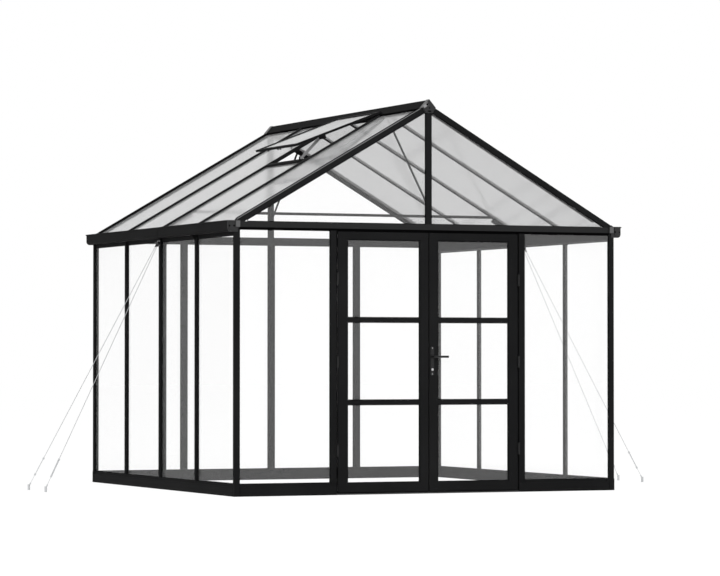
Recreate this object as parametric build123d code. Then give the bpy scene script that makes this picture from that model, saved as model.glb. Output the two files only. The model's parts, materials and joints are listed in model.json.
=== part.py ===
from build123d import *
import math
import os

# Glass greenhouse with a black frame, clear walls, an opal roof and a double door.
# Millimetres, +Z up. The origin is on the ground in the middle of the base ring.
# The door gable faces -Y, and the roof vent is on the -X slope.

# Overall sizes
base_width = 3000.0
base_length = 3058.0
eave_height = 1940.0
rafter_eave_rise = 11.0
roof_pitch = 30.0
side_bays = 4

# Base ring
base_height = 86.0
skirt_height = 66.0
base_depth = 60.0
ledge_setback = 8.0
base_inner_rise = 4.0

# Glass and the slots that hold it
glass_thickness = 4.0
glass_play = 0.3
glass_bite = 9.0
edge_play = 1.0
side_glass_setback = 16.0
gable_glass_setback = 10.0

# Posts, bars and headers
corner_post_width = 40.0
corner_post_depth = 30.0
corner_round = 4.0
foot_stand = 1.0
bar_width = 26.0
bar_stand = 5.0
bar_flange = 4.0
bar_round = 2.0
jamb_width = 46.0
jamb_depth = 25.0
post_round = 3.0
stud_width = 46.0
stud_depth = 46.0
header_drop = 6.0
header_height = 46.0
header_depth = 40.0
header_brow = 12.0
header_lean = 5.0
lip_height = 10.0
lip_setback = 8.0

# Gutter and eave rail
gutter_overhang = 59.0
gutter_height = 79.0
gutter_beam = 20.0
gutter_sheet = 3.0
gutter_round = 24.0
gutter_lip = 7.0
gutter_lip_height = 9.0
eave_rail_height = 25.0
eave_rail_setback = 10.0
eave_inner_rise = 11.0
end_cap_plate = 4.0
end_cap_thickness = 9.0
end_cap_margin = 2.0
shield_inset = 8.0
shield_rise = 6.0
shield_round = 22.0
shield_screw_radius = 5.0
shield_screw_depth = 6.0
shield_screw_drop = 39.0
shield_screw_insets = (9.0, 44.0)
lap_block_width = 36.0
lap_block_height = 50.0
lap_block_round = 8.0
sleeve_thickness = 1.5
sleeve_width = 34.0
sleeve_y = -70.0
gusset_reach = 31.0
gusset_drop = 41.0
gusset_thickness = 8.0

# Roof
roof_panel_thickness = 6.0
roof_bar_cap = 14.0
rafter_depth = 26.0
rafter_overhang = 8.0
roof_panel_overhang = 12.0
gable_rafter_depth = 41.0
gable_rafter_width = 34.0
gable_flange_reach = 21.0
gable_flange_depth = 26.0
edge_cap_width = 15.0
edge_cap_height = 2.0
rafter_round = 3.0
ridge_web = 20.0
ridge_half_width = 50.0
ridge_height = 58.0
ridge_tuck = 25.0
ridge_cap_sheet = 3.0
ridge_cap_gap = 0.2
ridge_cap_hood = 45.0
ridge_cap_thickness = 12.0
ridge_cap_height = 98.0
ridge_cap_foot = 60.0
ridge_cap_chamfer = 5.0
ridge_cap_screws = ((-16.0, 34.5), (0.0, 64.0))
ridge_cap_screw_radius = 4.5
ridge_cap_slot_width = 24.0
ridge_cap_slot_height = 8.0
ridge_cap_slot_drop = 86.0
ridge_cap_recess = 6.0
king_post_width = 44.0
king_post_depth = 24.0
king_post_round = 5.0

# Portal in the middle of the house
knee_depth = 26.0
knee_radius = 200.0
knee_reach = 212.0
tie_rise = 123.0
tie_section = 20.0

# Braces between the ridge and the king posts
brace_diameter = 15.0
brace_run = 709.0
brace_rise = 130.0

# Roof vent, propped open
vent_length = 729.0
vent_overlap = 14.0
vent_opening_angle = 9.0
vent_frame_width = 30.0
vent_frame_thickness = 16.0
vent_bead_radius = 8.0
vent_hinge_gap = 0.3
vent_hinge_rise_share = 0.2
vent_lap = 48.0
vent_sill_width = 25.0
stay_width = 19.0
stay_thickness = 4.0
stay_lug_height = 24.0
stay_inset = 60.0
stay_reach_share = 0.668
stay_peg_radius = 3.5
stay_peg_shares = (0.25, 0.5, 0.75)
stay_block_length = 26.0
stay_block_width = 14.0
stay_block_height = 24.0

# Double door
door_opening = 1444.0
leaf_gap = 12.0
meeting_gap = 8.0
leaf_bottom = 17.0
leaf_head_gap = 6.0
leaf_thickness = 20.0
hinge_stile = 75.0
meeting_stile = 68.0
top_rail = 56.0
bottom_rail = 68.0
muntin_height = 34.0
muntin_depth = 14.0
leaf_panes = 3
leaf_round = 3.0
bead_width = 5.0
bead_depth = 4.0
threshold_height = 11.0
threshold_depth = 44.0
threshold_ramp = 14.0
threshold_nose = 4.0
stop_thickness = 10.0
stop_lap = 15.0
stop_back = 15.0
head_stop_height = 16.0
foot_stop_height = 17.0

# Door hinges
hinge_length = 84.0
hinge_radius = 6.5
hinge_offset = 6.0
hinge_pin_radius = 3.0
hinge_pin_play = 0.05
hinge_end_play = 0.5
hinge_flag = 4.0
hinge_flag_depth = 26.0
hinge_height_shares = (0.16, 0.50, 0.82)

# Lever handle on the right leaf
handle_x = 24.0
handle_plate_height = 209.0
handle_plate_width = 28.0
handle_plate_thickness = 6.0
handle_plate_drop = 31.0
lever_height = 982.0
lever_reach = 109.0
lever_bar = 16.0
lever_thickness = 12.0
lever_standoff = 36.0
lever_bend = 14.0
lever_edge = 4.0
rose_radius = 13.0
rose_thickness = 5.0
lever_gap = 1.0
spindle_radius = 5.0
spindle_play = 0.05
lock_drop = 92.0
lock_radius = 8.5
lock_play = 0.05
lock_stand = 3.0

# Stay cables and their anchors
cable_radius = 2.0
cable_drop = 36.0
cable_spread = 14.0
anchor_reach = 950.0
anchor_y = 200.0
anchor_eye_height = 28.0
anchor_radius = 9.0
anchor_height = 42.0
socket_radius = 5.0
socket_length = 30.0
turnbuckle_radius = 7.0
turnbuckle_bar = 2.5
turnbuckle_collar = 16.0
turnbuckle_length = 150.0
turnbuckle_gap = 60.0
bracket_thickness = 4.0
bracket_width = 60.0
bracket_height = 46.0
bracket_lug = 16.0
bracket_lug_height = 24.0

# One overrun serves all cuts
overrun = 50.0
same_place = 0.1

# Planes and places that follow from the sizes above
half_width = base_width / 2
half_length = base_length / 2
slope = math.tan(math.radians(roof_pitch))
slope_cos = math.cos(math.radians(roof_pitch))
slope_sin = math.sin(math.radians(roof_pitch))
side_glass_x = half_width - side_glass_setback
gable_glass_y = half_length - gable_glass_setback
frame_inner_x = side_glass_x - glass_thickness - glass_play - bar_flange
rafter_peak = eave_height + rafter_eave_rise + frame_inner_x * slope
base_top = base_height + base_inner_rise
corner_x = half_width - corner_post_width
corner_y = half_length - corner_post_depth
header_inner_y = half_length - header_depth
gable_rafter_y = half_length - gable_rafter_width - gable_flange_reach
header_top = eave_height - header_drop
header_bottom = header_top - header_height - lip_height
gutter_bottom = eave_height - gutter_height
gutter_outer_x = half_width + gutter_overhang
gutter_wall_x = gutter_outer_x - gutter_lip
gutter_beam_x = frame_inner_x + gutter_beam
eave_rail_bottom = gutter_bottom - eave_rail_height
eave_rail_x = half_width - eave_rail_setback
bar_outer_x = half_width + bar_stand
bay_length = (2 * half_length - corner_post_depth) / side_bays
bar_ys = [bay_length * (bay - side_bays / 2) for bay in range(1, side_bays)]
vent_bar_y = bar_ys[0]
pane_edge = bar_width / 2 - glass_bite + edge_play
post_x = (door_opening + jamb_width) / 2
roof_panel_top = roof_bar_cap + glass_play
roof_panel_bottom = roof_panel_top + roof_panel_thickness
slot_bottom = roof_panel_bottom + glass_play
leaf_front = -half_length
leaf_back = leaf_front + leaf_thickness
leaf_top = header_bottom - leaf_head_gap
leaf_outer_x = door_opening / 2 - leaf_gap
stop_ys = (jamb_depth - half_length, jamb_depth - half_length + stop_thickness)
hinge_x = door_opening / 2 - leaf_gap / 2
hinge_y = leaf_front - hinge_offset
king_post_back_y = gable_glass_y - glass_thickness / 2 - king_post_depth / 2
tie_height = eave_height + tie_rise
brace_ridge_y = king_post_back_y - brace_run
brace_post_height = eave_height + brace_rise
lock_height = lever_height - lock_drop
handle_plate_middle = lever_height - handle_plate_drop
cable_top_height = gutter_bottom - cable_drop
anchor_x = half_width + anchor_reach
ridge_rise = ridge_height / ridge_half_width
ridge_angle = math.atan(ridge_rise)
vent_hinge_reach = vent_bead_radius + vent_hinge_gap
vent_hinge_x = -ridge_half_width * (1 - vent_hinge_rise_share) - vent_hinge_reach * math.sin(ridge_angle)
vent_sill_x = vent_length * slope_cos - vent_hinge_x - vent_lap
stay_reach = vent_length * stay_reach_share
left = -1
right = 1
front = -1
back = 1


def roof_z(x, depth=0.0):
    """Height of the plane that lies a depth below the rafters' top faces."""
    return rafter_peak - abs(x) * slope - depth / slope_cos


ridge_wing = roof_z(ridge_half_width)


def ridge_slopes(margin=0.0):
    """The ridge's two slopes from wing to wing, moved outwards by a margin."""
    half = ridge_half_width + margin
    return [(half, ridge_wing), (0, ridge_wing + half * ridge_rise), (-half, ridge_wing)]


def block(xs, ys, zs):
    """Box between two values on each axis, in either order."""
    corners = [sorted(pair) for pair in (xs, ys, zs)]
    middle = [(low + high) / 2 for low, high in corners]
    size = [high - low for low, high in corners]
    return Pos(*middle) * Box(*size)


def prism(points, ys):
    """Outline of x and z points, extruded between two y values."""
    near, far = sorted(ys)
    outline = Polyline(*[(x, near, z) for x, z in points], close=True)
    return extrude(make_face(outline), amount=far - near, dir=(0, 1, 0))


def beam(points, xs):
    """Outline of y and z points, extruded between two x values."""
    near, far = sorted(xs)
    outline = Polyline(*[(near, y, z) for y, z in points], close=True)
    return extrude(make_face(outline), amount=far - near, dir=(1, 0, 0))


def softened(piece, axis, toward, radius):
    """Piece whose edges along an axis are rounded where they lie farthest one way."""
    edges = piece.edges().filter_by(axis)
    reaches = [edge.center().dot(Vector(*toward)) for edge in edges]
    far = max(reaches) - same_place
    return fillet([edge for edge, reach in zip(edges, reaches) if reach > far], radius)


def roof_strip(side, xs, depths, ys):
    """Sloping bar or panel between two distances from the ridge, with plumb ends."""
    inner, outer = xs
    upper, lower = depths
    points = [
        (side * inner, roof_z(inner, upper)),
        (side * outer, roof_z(outer, upper)),
        (side * outer, roof_z(outer, lower)),
        (side * inner, roof_z(inner, lower)),
    ]
    return prism(points, ys)


def rod(start, end, radius):
    """Round bar between two points."""
    axis = Vector(*end) - Vector(*start)
    seat = (Align.CENTER, Align.CENTER, Align.MIN)
    return Plane(origin=start, z_dir=axis) * Cylinder(radius, axis.length, align=seat)


def cut(piece, tools):
    """Piece with each tool taken away."""
    for tool in tools:
        piece = piece - tool
    return piece


def save(node, *shapes):
    """Write every solid of the shapes to one node's file."""
    solids = [solid for shape in shapes for solid in shape.solids()]
    whole = solids[0] if len(solids) == 1 else Compound(children=solids)
    export_step(whole, f"parts/{node}.step")


# Panes. With plays, the same call gives the slot that the frame has for the pane.
def side_pane(side, bay, face=0.0, edge=0.0):
    """Wall pane of one bay of a long side."""
    low = bar_ys[bay - 1] + pane_edge if bay > 0 else -corner_y - glass_bite
    high = bar_ys[bay] - pane_edge if bay < side_bays - 1 else corner_y + glass_bite
    outer = side_glass_x + face
    inner = side_glass_x - glass_thickness - face
    bottom = base_height - glass_bite - edge
    top = eave_rail_bottom + eave_inner_rise + glass_bite + edge
    return block((side * inner, side * outer), (low - edge, high + edge), (bottom, top))


def end_pane(end, xs, face=0.0, edge=0.0):
    """Wall pane of a gable end, between two posts."""
    outer = gable_glass_y + face
    inner = gable_glass_y - glass_thickness - face
    bottom = base_height - glass_bite - edge
    top = header_bottom + glass_bite + edge
    low, high = sorted(xs)
    widths = (low - glass_bite - edge, high + glass_bite + edge)
    return block(widths, (end * inner, end * outer), (bottom, top))


def gable_pane(end, side, face=0.0, edge=0.0):
    """Triangular pane above a header, on one side of the king post."""
    depth = gable_rafter_depth - glass_bite - edge
    near = king_post_width / 2 - glass_bite - edge
    far = (rafter_peak - gable_rafter_depth / slope_cos - header_top) / slope + edge
    bottom = header_top - glass_bite - edge
    points = [(near, bottom), (far, bottom), (far, roof_z(far, depth)), (near, roof_z(near, depth))]
    outer = gable_glass_y + face
    inner = gable_glass_y - glass_thickness - face
    return prism([(side * x, z) for x, z in points], (end * inner, end * outer))


def roof_pane(side, bay, face=0.0, edge=0.0):
    """Opal roof panel of one bay, shortened below the vent."""
    low = bar_ys[bay - 1] + pane_edge if bay > 0 else -gable_rafter_y - glass_bite
    high = bar_ys[bay] - pane_edge if bay < side_bays - 1 else gable_rafter_y + glass_bite
    under_vent = side == left and bay == 1
    start = vent_sill_x + vent_sill_width - glass_bite if under_vent else ridge_tuck
    end = gutter_beam_x + roof_panel_overhang
    depths = (roof_panel_top - face, roof_panel_bottom + face)
    return roof_strip(side, (start - edge, end + edge), depths, (low - edge, high + edge))


def leaf_pane(side, row, face=0.0, edge=0.0):
    """One of the panes of a door leaf."""
    low, high, bottom, top = leaf_window(row)
    middle = leaf_front + leaf_thickness / 2
    half = glass_thickness / 2 + face
    reach = glass_bite + edge
    widths = (side * (low - reach), side * (high + reach))
    return block(widths, (middle - half, middle + half), (bottom - reach, top + reach))


def leaf_window(row):
    """Clear opening of one row of a door leaf: x from, x to, z from, z to."""
    low = meeting_gap / 2 + meeting_stile
    high = leaf_outer_x - hinge_stile
    foot = leaf_bottom + bottom_rail
    head = leaf_top - top_rail
    height = (head - foot - muntin_height * (leaf_panes - 1)) / leaf_panes
    bottom = foot + row * (height + muntin_height)
    return low, high, bottom, bottom + height


slot = {"face": glass_play, "edge": edge_play}
sides = (left, right)
ends = (front, back)
bays = range(side_bays)
front_gaps = {side: (side * (door_opening / 2 + jamb_width), side * corner_x) for side in sides}
stud_xs = [-post_x, 0.0, post_x]
stud_edges = [-corner_x]
for stud_x in stud_xs:
    stud_edges += [stud_x - stud_width / 2, stud_x + stud_width / 2]
stud_edges.append(corner_x)
back_gaps = list(zip(stud_edges[0::2], stud_edges[1::2]))
side_slots = {side: [side_pane(side, bay, **slot) for bay in bays] for side in sides}
front_slots = [end_pane(front, front_gaps[side], **slot) for side in sides]
back_slots = [end_pane(back, gap, **slot) for gap in back_gaps]
end_slots = {front: front_slots, back: back_slots}
gable_slots = {end: [gable_pane(end, side, **slot) for side in sides] for end in ends}
roof_slots = {side: [roof_pane(side, bay, **slot) for bay in bays] for side in sides}


# Base ring
def corner_foot(side, end):
    """Foot of a corner post, which closes the base ring's corner."""
    xs = (side * corner_x, side * (half_width + foot_stand))
    ys = (end * corner_y, end * (half_length + foot_stand))
    return block(xs, ys, (0, base_height))


def base_side(side):
    """Long base rail with its stepped top ledge."""
    inner = side * (half_width - base_depth)
    skirt = block((inner, side * half_width), (-half_length, half_length), (0, skirt_height))
    ledge_x = side * (half_width - ledge_setback)
    ledge = block((inner, ledge_x), (-half_length, half_length), (skirt_height, base_height))
    lip = block((inner, side * frame_inner_x), (-corner_y, corner_y), (base_height, base_top))
    feet = [corner_foot(side, end) for end in ends]
    return cut(skirt + ledge + lip, side_slots[side] + end_slots[front] + end_slots[back] + feet)


def base_end(end, xs):
    """Short base rail between the long ones, with the same step."""
    inner = end * (half_length - base_depth)
    skirt = block(xs, (inner, end * half_length), (0, skirt_height))
    ledge = block(xs, (inner, end * (half_length - ledge_setback)), (skirt_height, base_height))
    lip_y = half_length - (stud_depth if end == back else jamb_depth)
    lip = block(xs, (inner, end * lip_y), (base_height, base_top))
    return cut(skirt + ledge + lip, end_slots[end])


def door_threshold():
    """Low sill between the jambs with a ramp along its front."""
    inner_y = -half_length + threshold_depth
    points = [
        (-half_length, 0),
        (inner_y, 0),
        (inner_y, threshold_height),
        (-half_length + threshold_ramp, threshold_height),
        (-half_length, threshold_nose),
    ]
    return beam(points, (-door_opening / 2, door_opening / 2))


# Walls
def corner_post(side, end):
    """Corner post from the ground to the gutter, with a tongue up to the header."""
    xs = (side * corner_x, side * half_width)
    ys = (end * corner_y, end * half_length)
    post = block(xs, ys, (base_height, gutter_bottom))
    post = softened(post, Axis.Z, (side, end, 0), corner_round)
    tongue = block((side * corner_x, side * frame_inner_x), ys, (gutter_bottom, header_bottom))
    return cut(post + tongue + corner_foot(side, end), side_slots[side] + end_slots[end])


def wall_bar(side, y):
    """Glazing bar of a long side, its front running up past the eave rail."""
    ys = (y - bar_width / 2, y + bar_width / 2)
    body = block((side * frame_inner_x, side * bar_outer_x), ys, (base_height, eave_rail_bottom))
    tongue = block((side * eave_rail_x, side * bar_outer_x), ys, (eave_rail_bottom, gutter_bottom))
    outward = (side, 0, 0)
    bar = softened(body, Axis.Z, outward, bar_round) + softened(tongue, Axis.Z, outward, bar_round)
    return cut(bar, side_slots[side])


def end_post(end, xs, depth):
    """Door jamb or back stud, from the base to the header."""
    post = block(xs, (end * (half_length - depth), end * half_length), (base_height, header_bottom))
    return cut(softened(post, Axis.Z, (0, end, 0), post_round), end_slots[end])


def header(end):
    """Beam over a gable wall: an upright brow, a face that leans in, a set-back lip below."""
    lip_top = header_bottom + lip_height
    points = [
        (header_inner_y, header_bottom),
        (half_length - lip_setback, header_bottom),
        (half_length - lip_setback, lip_top),
        (half_length - header_lean, lip_top),
        (half_length, header_top - header_brow),
        (half_length, header_top),
        (header_inner_y, header_top),
    ]
    whole = beam([(end * y, z) for y, z in points], (-frame_inner_x, frame_inner_x))
    return cut(whole, end_slots[end] + gable_slots[end])


def king_post(end):
    """Upright from a header to the ridge."""
    middle = gable_glass_y - glass_thickness / 2
    ys = (end * (middle - king_post_depth / 2), end * (middle + king_post_depth / 2))
    half = king_post_width / 2
    post = block((-half, half), ys, (header_top, roof_z(half, gable_rafter_depth)))
    return cut(softened(post, Axis.Z, (0, end, 0), king_post_round), gable_slots[end])


# Eaves
def eave_rail(side):
    """Rail under the gutter that holds the top edges of the wall panes."""
    xs = (side * frame_inner_x, side * eave_rail_x)
    rail = block(xs, (-corner_y, corner_y), (eave_rail_bottom, gutter_bottom))
    step_xs = (side * frame_inner_x, side * side_glass_x)
    step_zs = (eave_rail_bottom, eave_rail_bottom + eave_inner_rise)
    step = block(step_xs, (-corner_y, corner_y), step_zs)
    return cut(rail, side_slots[side] + [step])


def gutter_outline(side, margin, y):
    """Outer line of the gutter from the beam's inner face round to the rim, as edges."""
    low = gutter_bottom - margin
    outer = gutter_wall_x + margin
    radius = gutter_round + margin
    lip = gutter_outer_x + margin
    lip_low = eave_height - gutter_lip_height - margin
    half_turn = math.sqrt(0.5) * radius
    centre = (gutter_wall_x - gutter_round, gutter_bottom + gutter_round)
    line = [(frame_inner_x, low), (centre[0], low)]
    bend = [line[-1], (centre[0] + half_turn, centre[1] - half_turn), (outer, centre[1])]
    rim = [bend[-1], (outer, lip_low), (lip, lip_low + gutter_lip), (lip, eave_height)]

    def place(points):
        return [(side * px, y, pz) for px, pz in points]

    return [Polyline(*place(line)), ThreePointArc(*place(bend)), Polyline(*place(rim))]


def gutter(side):
    """Gutter trough with the sloped beam that carries the rafters' feet."""
    outline = gutter_outline(side, 0.0, -half_length)
    rim_inner = gutter_wall_x - gutter_sheet
    bend_x = gutter_wall_x - gutter_round
    bend_z = gutter_bottom + gutter_round
    inner_radius = gutter_round - gutter_sheet
    half_turn = math.sqrt(0.5) * inner_radius

    def place(points):
        return [(side * px, -half_length, pz) for px, pz in points]

    rim = [(gutter_outer_x, eave_height), (rim_inner, eave_height), (rim_inner, bend_z)]
    bend = [rim[-1], (bend_x + half_turn, bend_z - half_turn), (bend_x, bend_z - inner_radius)]
    beam = [
        bend[-1],
        (gutter_beam_x, gutter_bottom + gutter_sheet),
        (gutter_beam_x, roof_z(gutter_beam_x, slot_bottom)),
        (frame_inner_x, roof_z(frame_inner_x, slot_bottom)),
        (frame_inner_x, gutter_bottom),
    ]
    outline += [Polyline(*place(rim)), ThreePointArc(*place(bend)), Polyline(*place(beam))]
    return extrude(make_face(outline), amount=2 * half_length, dir=(0, 1, 0))


def gutter_filled(side, margin, ys):
    """Solid within the gutter's outer line and its rim, between two y values."""
    near, far = sorted(ys)
    outline = gutter_outline(side, margin, near)
    rim = [(gutter_outer_x + margin, eave_height), (frame_inner_x, eave_height)]
    rim.append((frame_inner_x, gutter_bottom - margin))
    outline.append(Polyline(*[(side * px, near, pz) for px, pz in rim]))
    return extrude(make_face(outline), amount=far - near, dir=(0, 1, 0))


def gutter_sleeve(side):
    """Thin sleeve round the joint between a gutter's two lengths."""
    ys = (sleeve_y - sleeve_width / 2, sleeve_y + sleeve_width / 2)
    under = block((0, side * half_width), ys, (0, eave_height))
    return gutter_filled(side, sleeve_thickness, ys) - gutter_filled(side, 0.0, ys) - under


def gutter_end_cap(side, end):
    """Moulded cap: a plate over the gutter's end, a screwed shield and a block on the header's end."""
    near = half_length if end == back else -half_length - end_cap_plate
    outline = gutter_outline(side, end_cap_margin, near)
    top = [
        (gutter_outer_x + end_cap_margin, eave_height),
        (gutter_beam_x, eave_height),
        (gutter_beam_x, roof_z(gutter_beam_x)),
        (frame_inner_x, roof_z(frame_inner_x)),
        (frame_inner_x, gutter_bottom - end_cap_margin),
    ]
    outline.append(Polyline(*[(side * px, near, pz) for px, pz in top]))
    plate = extrude(make_face(outline), amount=end_cap_plate, dir=(0, 1, 0))

    face_y = end * (half_length + end_cap_thickness)
    shield_outer = gutter_outer_x - shield_inset
    shield_xs = (side * (gutter_beam_x + shield_inset), side * shield_outer)
    shield = block(shield_xs, (end * half_length, face_y), (gutter_bottom + shield_rise, eave_height))
    shield = softened(shield, Axis.Y, (0, 0, -1), shield_round)
    for inset in shield_screw_insets:
        screw = (side * (shield_outer - inset), face_y, eave_height - shield_screw_drop)
        sunk = (screw[0], face_y - end * shield_screw_depth, screw[2])
        shield -= rod(sunk, screw, shield_screw_radius)

    lap_xs = (side * (gutter_beam_x - lap_block_width), side * gutter_beam_x)
    lap = block(lap_xs, (end * half_length, face_y), (eave_height - lap_block_height, eave_height))
    return plate + shield + softened(lap, Axis.Y, (0, 0, -1), lap_block_round)


def gutter_gusset(side):
    """Triangular bracket under the gutter, on the glazing bar nearest the door."""
    points = [
        (side * bar_outer_x, gutter_bottom),
        (side * (bar_outer_x + gusset_reach), gutter_bottom),
        (side * bar_outer_x, gutter_bottom - gusset_drop),
    ]
    return prism(points, (vent_bar_y - gusset_thickness / 2, vent_bar_y + gusset_thickness / 2))


# Roof
def rafter(side, y):
    """Roof bar whose slots hold the panels, notched over the gutter's beam."""
    ys = (y - bar_width / 2, y + bar_width / 2)
    end = gutter_beam_x + rafter_overhang
    bar = roof_strip(side, (ridge_web / 2, end), (0, rafter_depth), ys)
    along = Axis((0, 0, 0), (slope_cos, 0, -side * slope_sin))
    bar = softened(bar, along, (side * slope_sin, 0, slope_cos), rafter_round)
    notch_ys = (ys[0] - overrun, ys[1] + overrun)
    notch_depths = (slot_bottom, rafter_depth + overrun)
    notch = roof_strip(side, (frame_inner_x, end + overrun), notch_depths, notch_ys)
    return cut(bar, roof_slots[side] + [notch])


def gable_rafter(side, end):
    """Edge rafter of a gable: a box on the header and a flange behind it that holds the panels."""
    xs = (ridge_web / 2, frame_inner_x)
    box_ys = (end * (half_length - gable_rafter_width), end * half_length)
    flange_ys = (end * gable_rafter_y, end * half_length)
    bar = roof_strip(side, xs, (0, gable_rafter_depth), box_ys)
    bar += roof_strip(side, xs, (0, gable_flange_depth), flange_ys)
    ledge_xs = (ridge_web / 2, frame_inner_x + overrun)
    ledge_ys = (end * (gable_rafter_y + edge_cap_width), end * (half_length + overrun))
    ledge = roof_strip(side, ledge_xs, (-overrun, edge_cap_height), ledge_ys)
    below = block((-half_width, half_width), (-half_length, half_length), (0, header_top))
    return cut(bar, roof_slots[side] + gable_slots[end] + [ledge, below])


def ridge_beam():
    """Ridge web with its steep cap, whose wings lie on the rafters."""
    web = ridge_web / 2
    foot = roof_z(king_post_width / 2, gable_rafter_depth)
    inside = [(web, foot), (web, roof_z(web))]
    mirrored = [(-x, z) for x, z in reversed(inside)]
    return prism(inside + ridge_slopes() + mirrored, (-half_length, half_length))


def ridge_end_cap(end):
    """Moulded cap on the end of the ridge, with a thin hood over the ridge's slopes."""
    outside = ridge_slopes(ridge_cap_gap + ridge_cap_sheet)
    inside = reversed(ridge_slopes(ridge_cap_gap))
    hood = prism([*outside, *inside], (end * (half_length - ridge_cap_hood), end * half_length))
    foot = outside[1][1] - ridge_cap_height
    half_foot = ridge_cap_foot / 2
    kite = [(half_foot, foot), *outside, (-half_foot, foot)]
    face_y = end * (half_length + ridge_cap_thickness)
    plate = prism(kite, (end * half_length, face_y))
    rim = plate.faces().sort_by(Axis.Y)[-1 if end == back else 0].edges()
    sunk_y = face_y - end * ridge_cap_recess
    slot_z = outside[1][1] - ridge_cap_slot_drop
    slot_zs = (slot_z - ridge_cap_slot_height / 2, slot_z + ridge_cap_slot_height / 2)
    recesses = [block((-ridge_cap_slot_width / 2, ridge_cap_slot_width / 2), (sunk_y, face_y), slot_zs)]
    for across, drop in ridge_cap_screws:
        screw = (-end * across, face_y, outside[1][1] - drop)
        recesses.append(rod((screw[0], sunk_y, screw[2]), screw, ridge_cap_screw_radius))
    return cut(chamfer(rim, ridge_cap_chamfer), recesses) + hood


# Portal at the middle bars
def portal_knee(side):
    """Column against the middle bar that bends over into a leg under the rafter."""
    column_x = frame_inner_x - knee_depth / 2
    leg_depth = rafter_depth + knee_depth / 2
    corner_z = roof_z(column_x, leg_depth)
    end_x = frame_inner_x - knee_reach - leg_depth * slope_sin
    points = [
        (side * column_x, 0, base_top),
        (side * column_x, 0, corner_z),
        (side * end_x, 0, roof_z(end_x, leg_depth)),
    ]
    path = FilletPolyline(*points, radius=knee_radius)
    section = Plane(origin=points[0], x_dir=(0, 1, 0), z_dir=(0, 0, 1)) * Rectangle(bar_width, knee_depth)
    return sweep(section, path=path)


def collar_tie():
    """Level tie between the middle rafters, its ends cut to their slope."""
    low = tie_height - tie_section / 2
    high = tie_height + tie_section / 2
    under = rafter_peak - rafter_depth / slope_cos
    low_x = (under - low) / slope
    high_x = (under - high) / slope
    points = [(-low_x, low), (low_x, low), (high_x, high), (-high_x, high)]
    return prism(points, (-tie_section / 2, tie_section / 2))


def ridge_brace(end):
    """Thin brace from the underside of the ridge down to a king post."""
    top_z = roof_z(king_post_width / 2, gable_rafter_depth)
    upper = Vector(0, end * brace_ridge_y, top_z)
    lower = Vector(0, end * king_post_back_y, brace_post_height)
    reach = (upper - lower).normalized() * overrun
    bar = rod(tuple(lower - reach), tuple(upper + reach), brace_diameter / 2)
    room = block((-overrun, overrun), (0, end * king_post_back_y), (eave_height, top_z))
    return bar & room


# Roof vent
vent_pitch = roof_pitch - vent_opening_angle
vent_hinge_z = ridge_wing + ridge_height * vent_hinge_rise_share + vent_hinge_reach * math.cos(ridge_angle)
vent_ys = (vent_bar_y - vent_overlap, bar_ys[1] + vent_overlap)
stay_side = vent_ys[0] + vent_frame_width + stay_inset
stay_y = (stay_side, stay_side + stay_thickness)
vent_plane = Plane(
    origin=(vent_hinge_x, 0, vent_hinge_z),
    x_dir=(-math.cos(math.radians(vent_pitch)), 0, -math.sin(math.radians(vent_pitch))),
    z_dir=(-math.sin(math.radians(vent_pitch)), 0, math.cos(math.radians(vent_pitch))),
)


def vent_board(reach, ys, thickness):
    """Flat box in the vent's own plane, from the hinge line outwards."""
    start, end = reach
    width = ys[1] - ys[0]
    middle = Pos((start + end) / 2, -(ys[0] + ys[1]) / 2, 0)
    return vent_plane * middle * Box(end - start, width, thickness)


def vent_glass(face=0.0, edge=0.0):
    """Opal pane of the vent."""
    reach = vent_frame_width - glass_bite - edge
    ys = (vent_ys[0] + reach, vent_ys[1] - reach)
    return vent_board((reach, vent_length - reach), ys, roof_panel_thickness + 2 * face)


def vent_frame():
    """Four-sided vent frame with a round hinge bead along its upper edge."""
    frame = vent_board((0, vent_length), vent_ys, vent_frame_thickness)
    inner_ys = (vent_ys[0] + vent_frame_width, vent_ys[1] - vent_frame_width)
    inner = (vent_frame_width, vent_length - vent_frame_width)
    window = vent_board(inner, inner_ys, vent_frame_thickness + overrun)
    bead_ends = [(vent_hinge_x, y, vent_hinge_z) for y in vent_ys]
    bead = rod(*bead_ends, vent_bead_radius)
    clear = prism(ridge_slopes(vent_hinge_gap / math.sin(ridge_angle)), vent_ys)
    lug_reach = (stay_reach - stay_width / 2, stay_reach + stay_width / 2)
    lug = vent_board(lug_reach, (vent_ys[0], stay_y[0]), stay_lug_height)
    lowered = vent_plane.z_dir * -(vent_frame_thickness + stay_lug_height) / 2
    return cut(frame, [window, clear]) - vent_glass(**slot) + bead + Pos(*lowered) * lug


def vent_sill():
    """Bar across the bay at the lower edge of the vent's opening, with the stay's block."""
    ys = (vent_bar_y + bar_width / 2, bar_ys[1] - bar_width / 2)
    bar = roof_strip(left, (vent_sill_x, vent_sill_x + vent_sill_width), (0, rafter_depth), ys)
    middle = vent_sill_x + vent_sill_width / 2
    block_xs = (-middle - stay_block_length / 2, -middle + stay_block_length / 2)
    block_ys = (stay_y[1], stay_y[1] + stay_block_width)
    seat = roof_z(middle, rafter_depth / 2)
    holder = block(block_xs, block_ys, (seat, roof_z(middle) + stay_block_height))
    return cut(bar, roof_slots[left]) + cut(holder, roof_slots[left])


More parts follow.
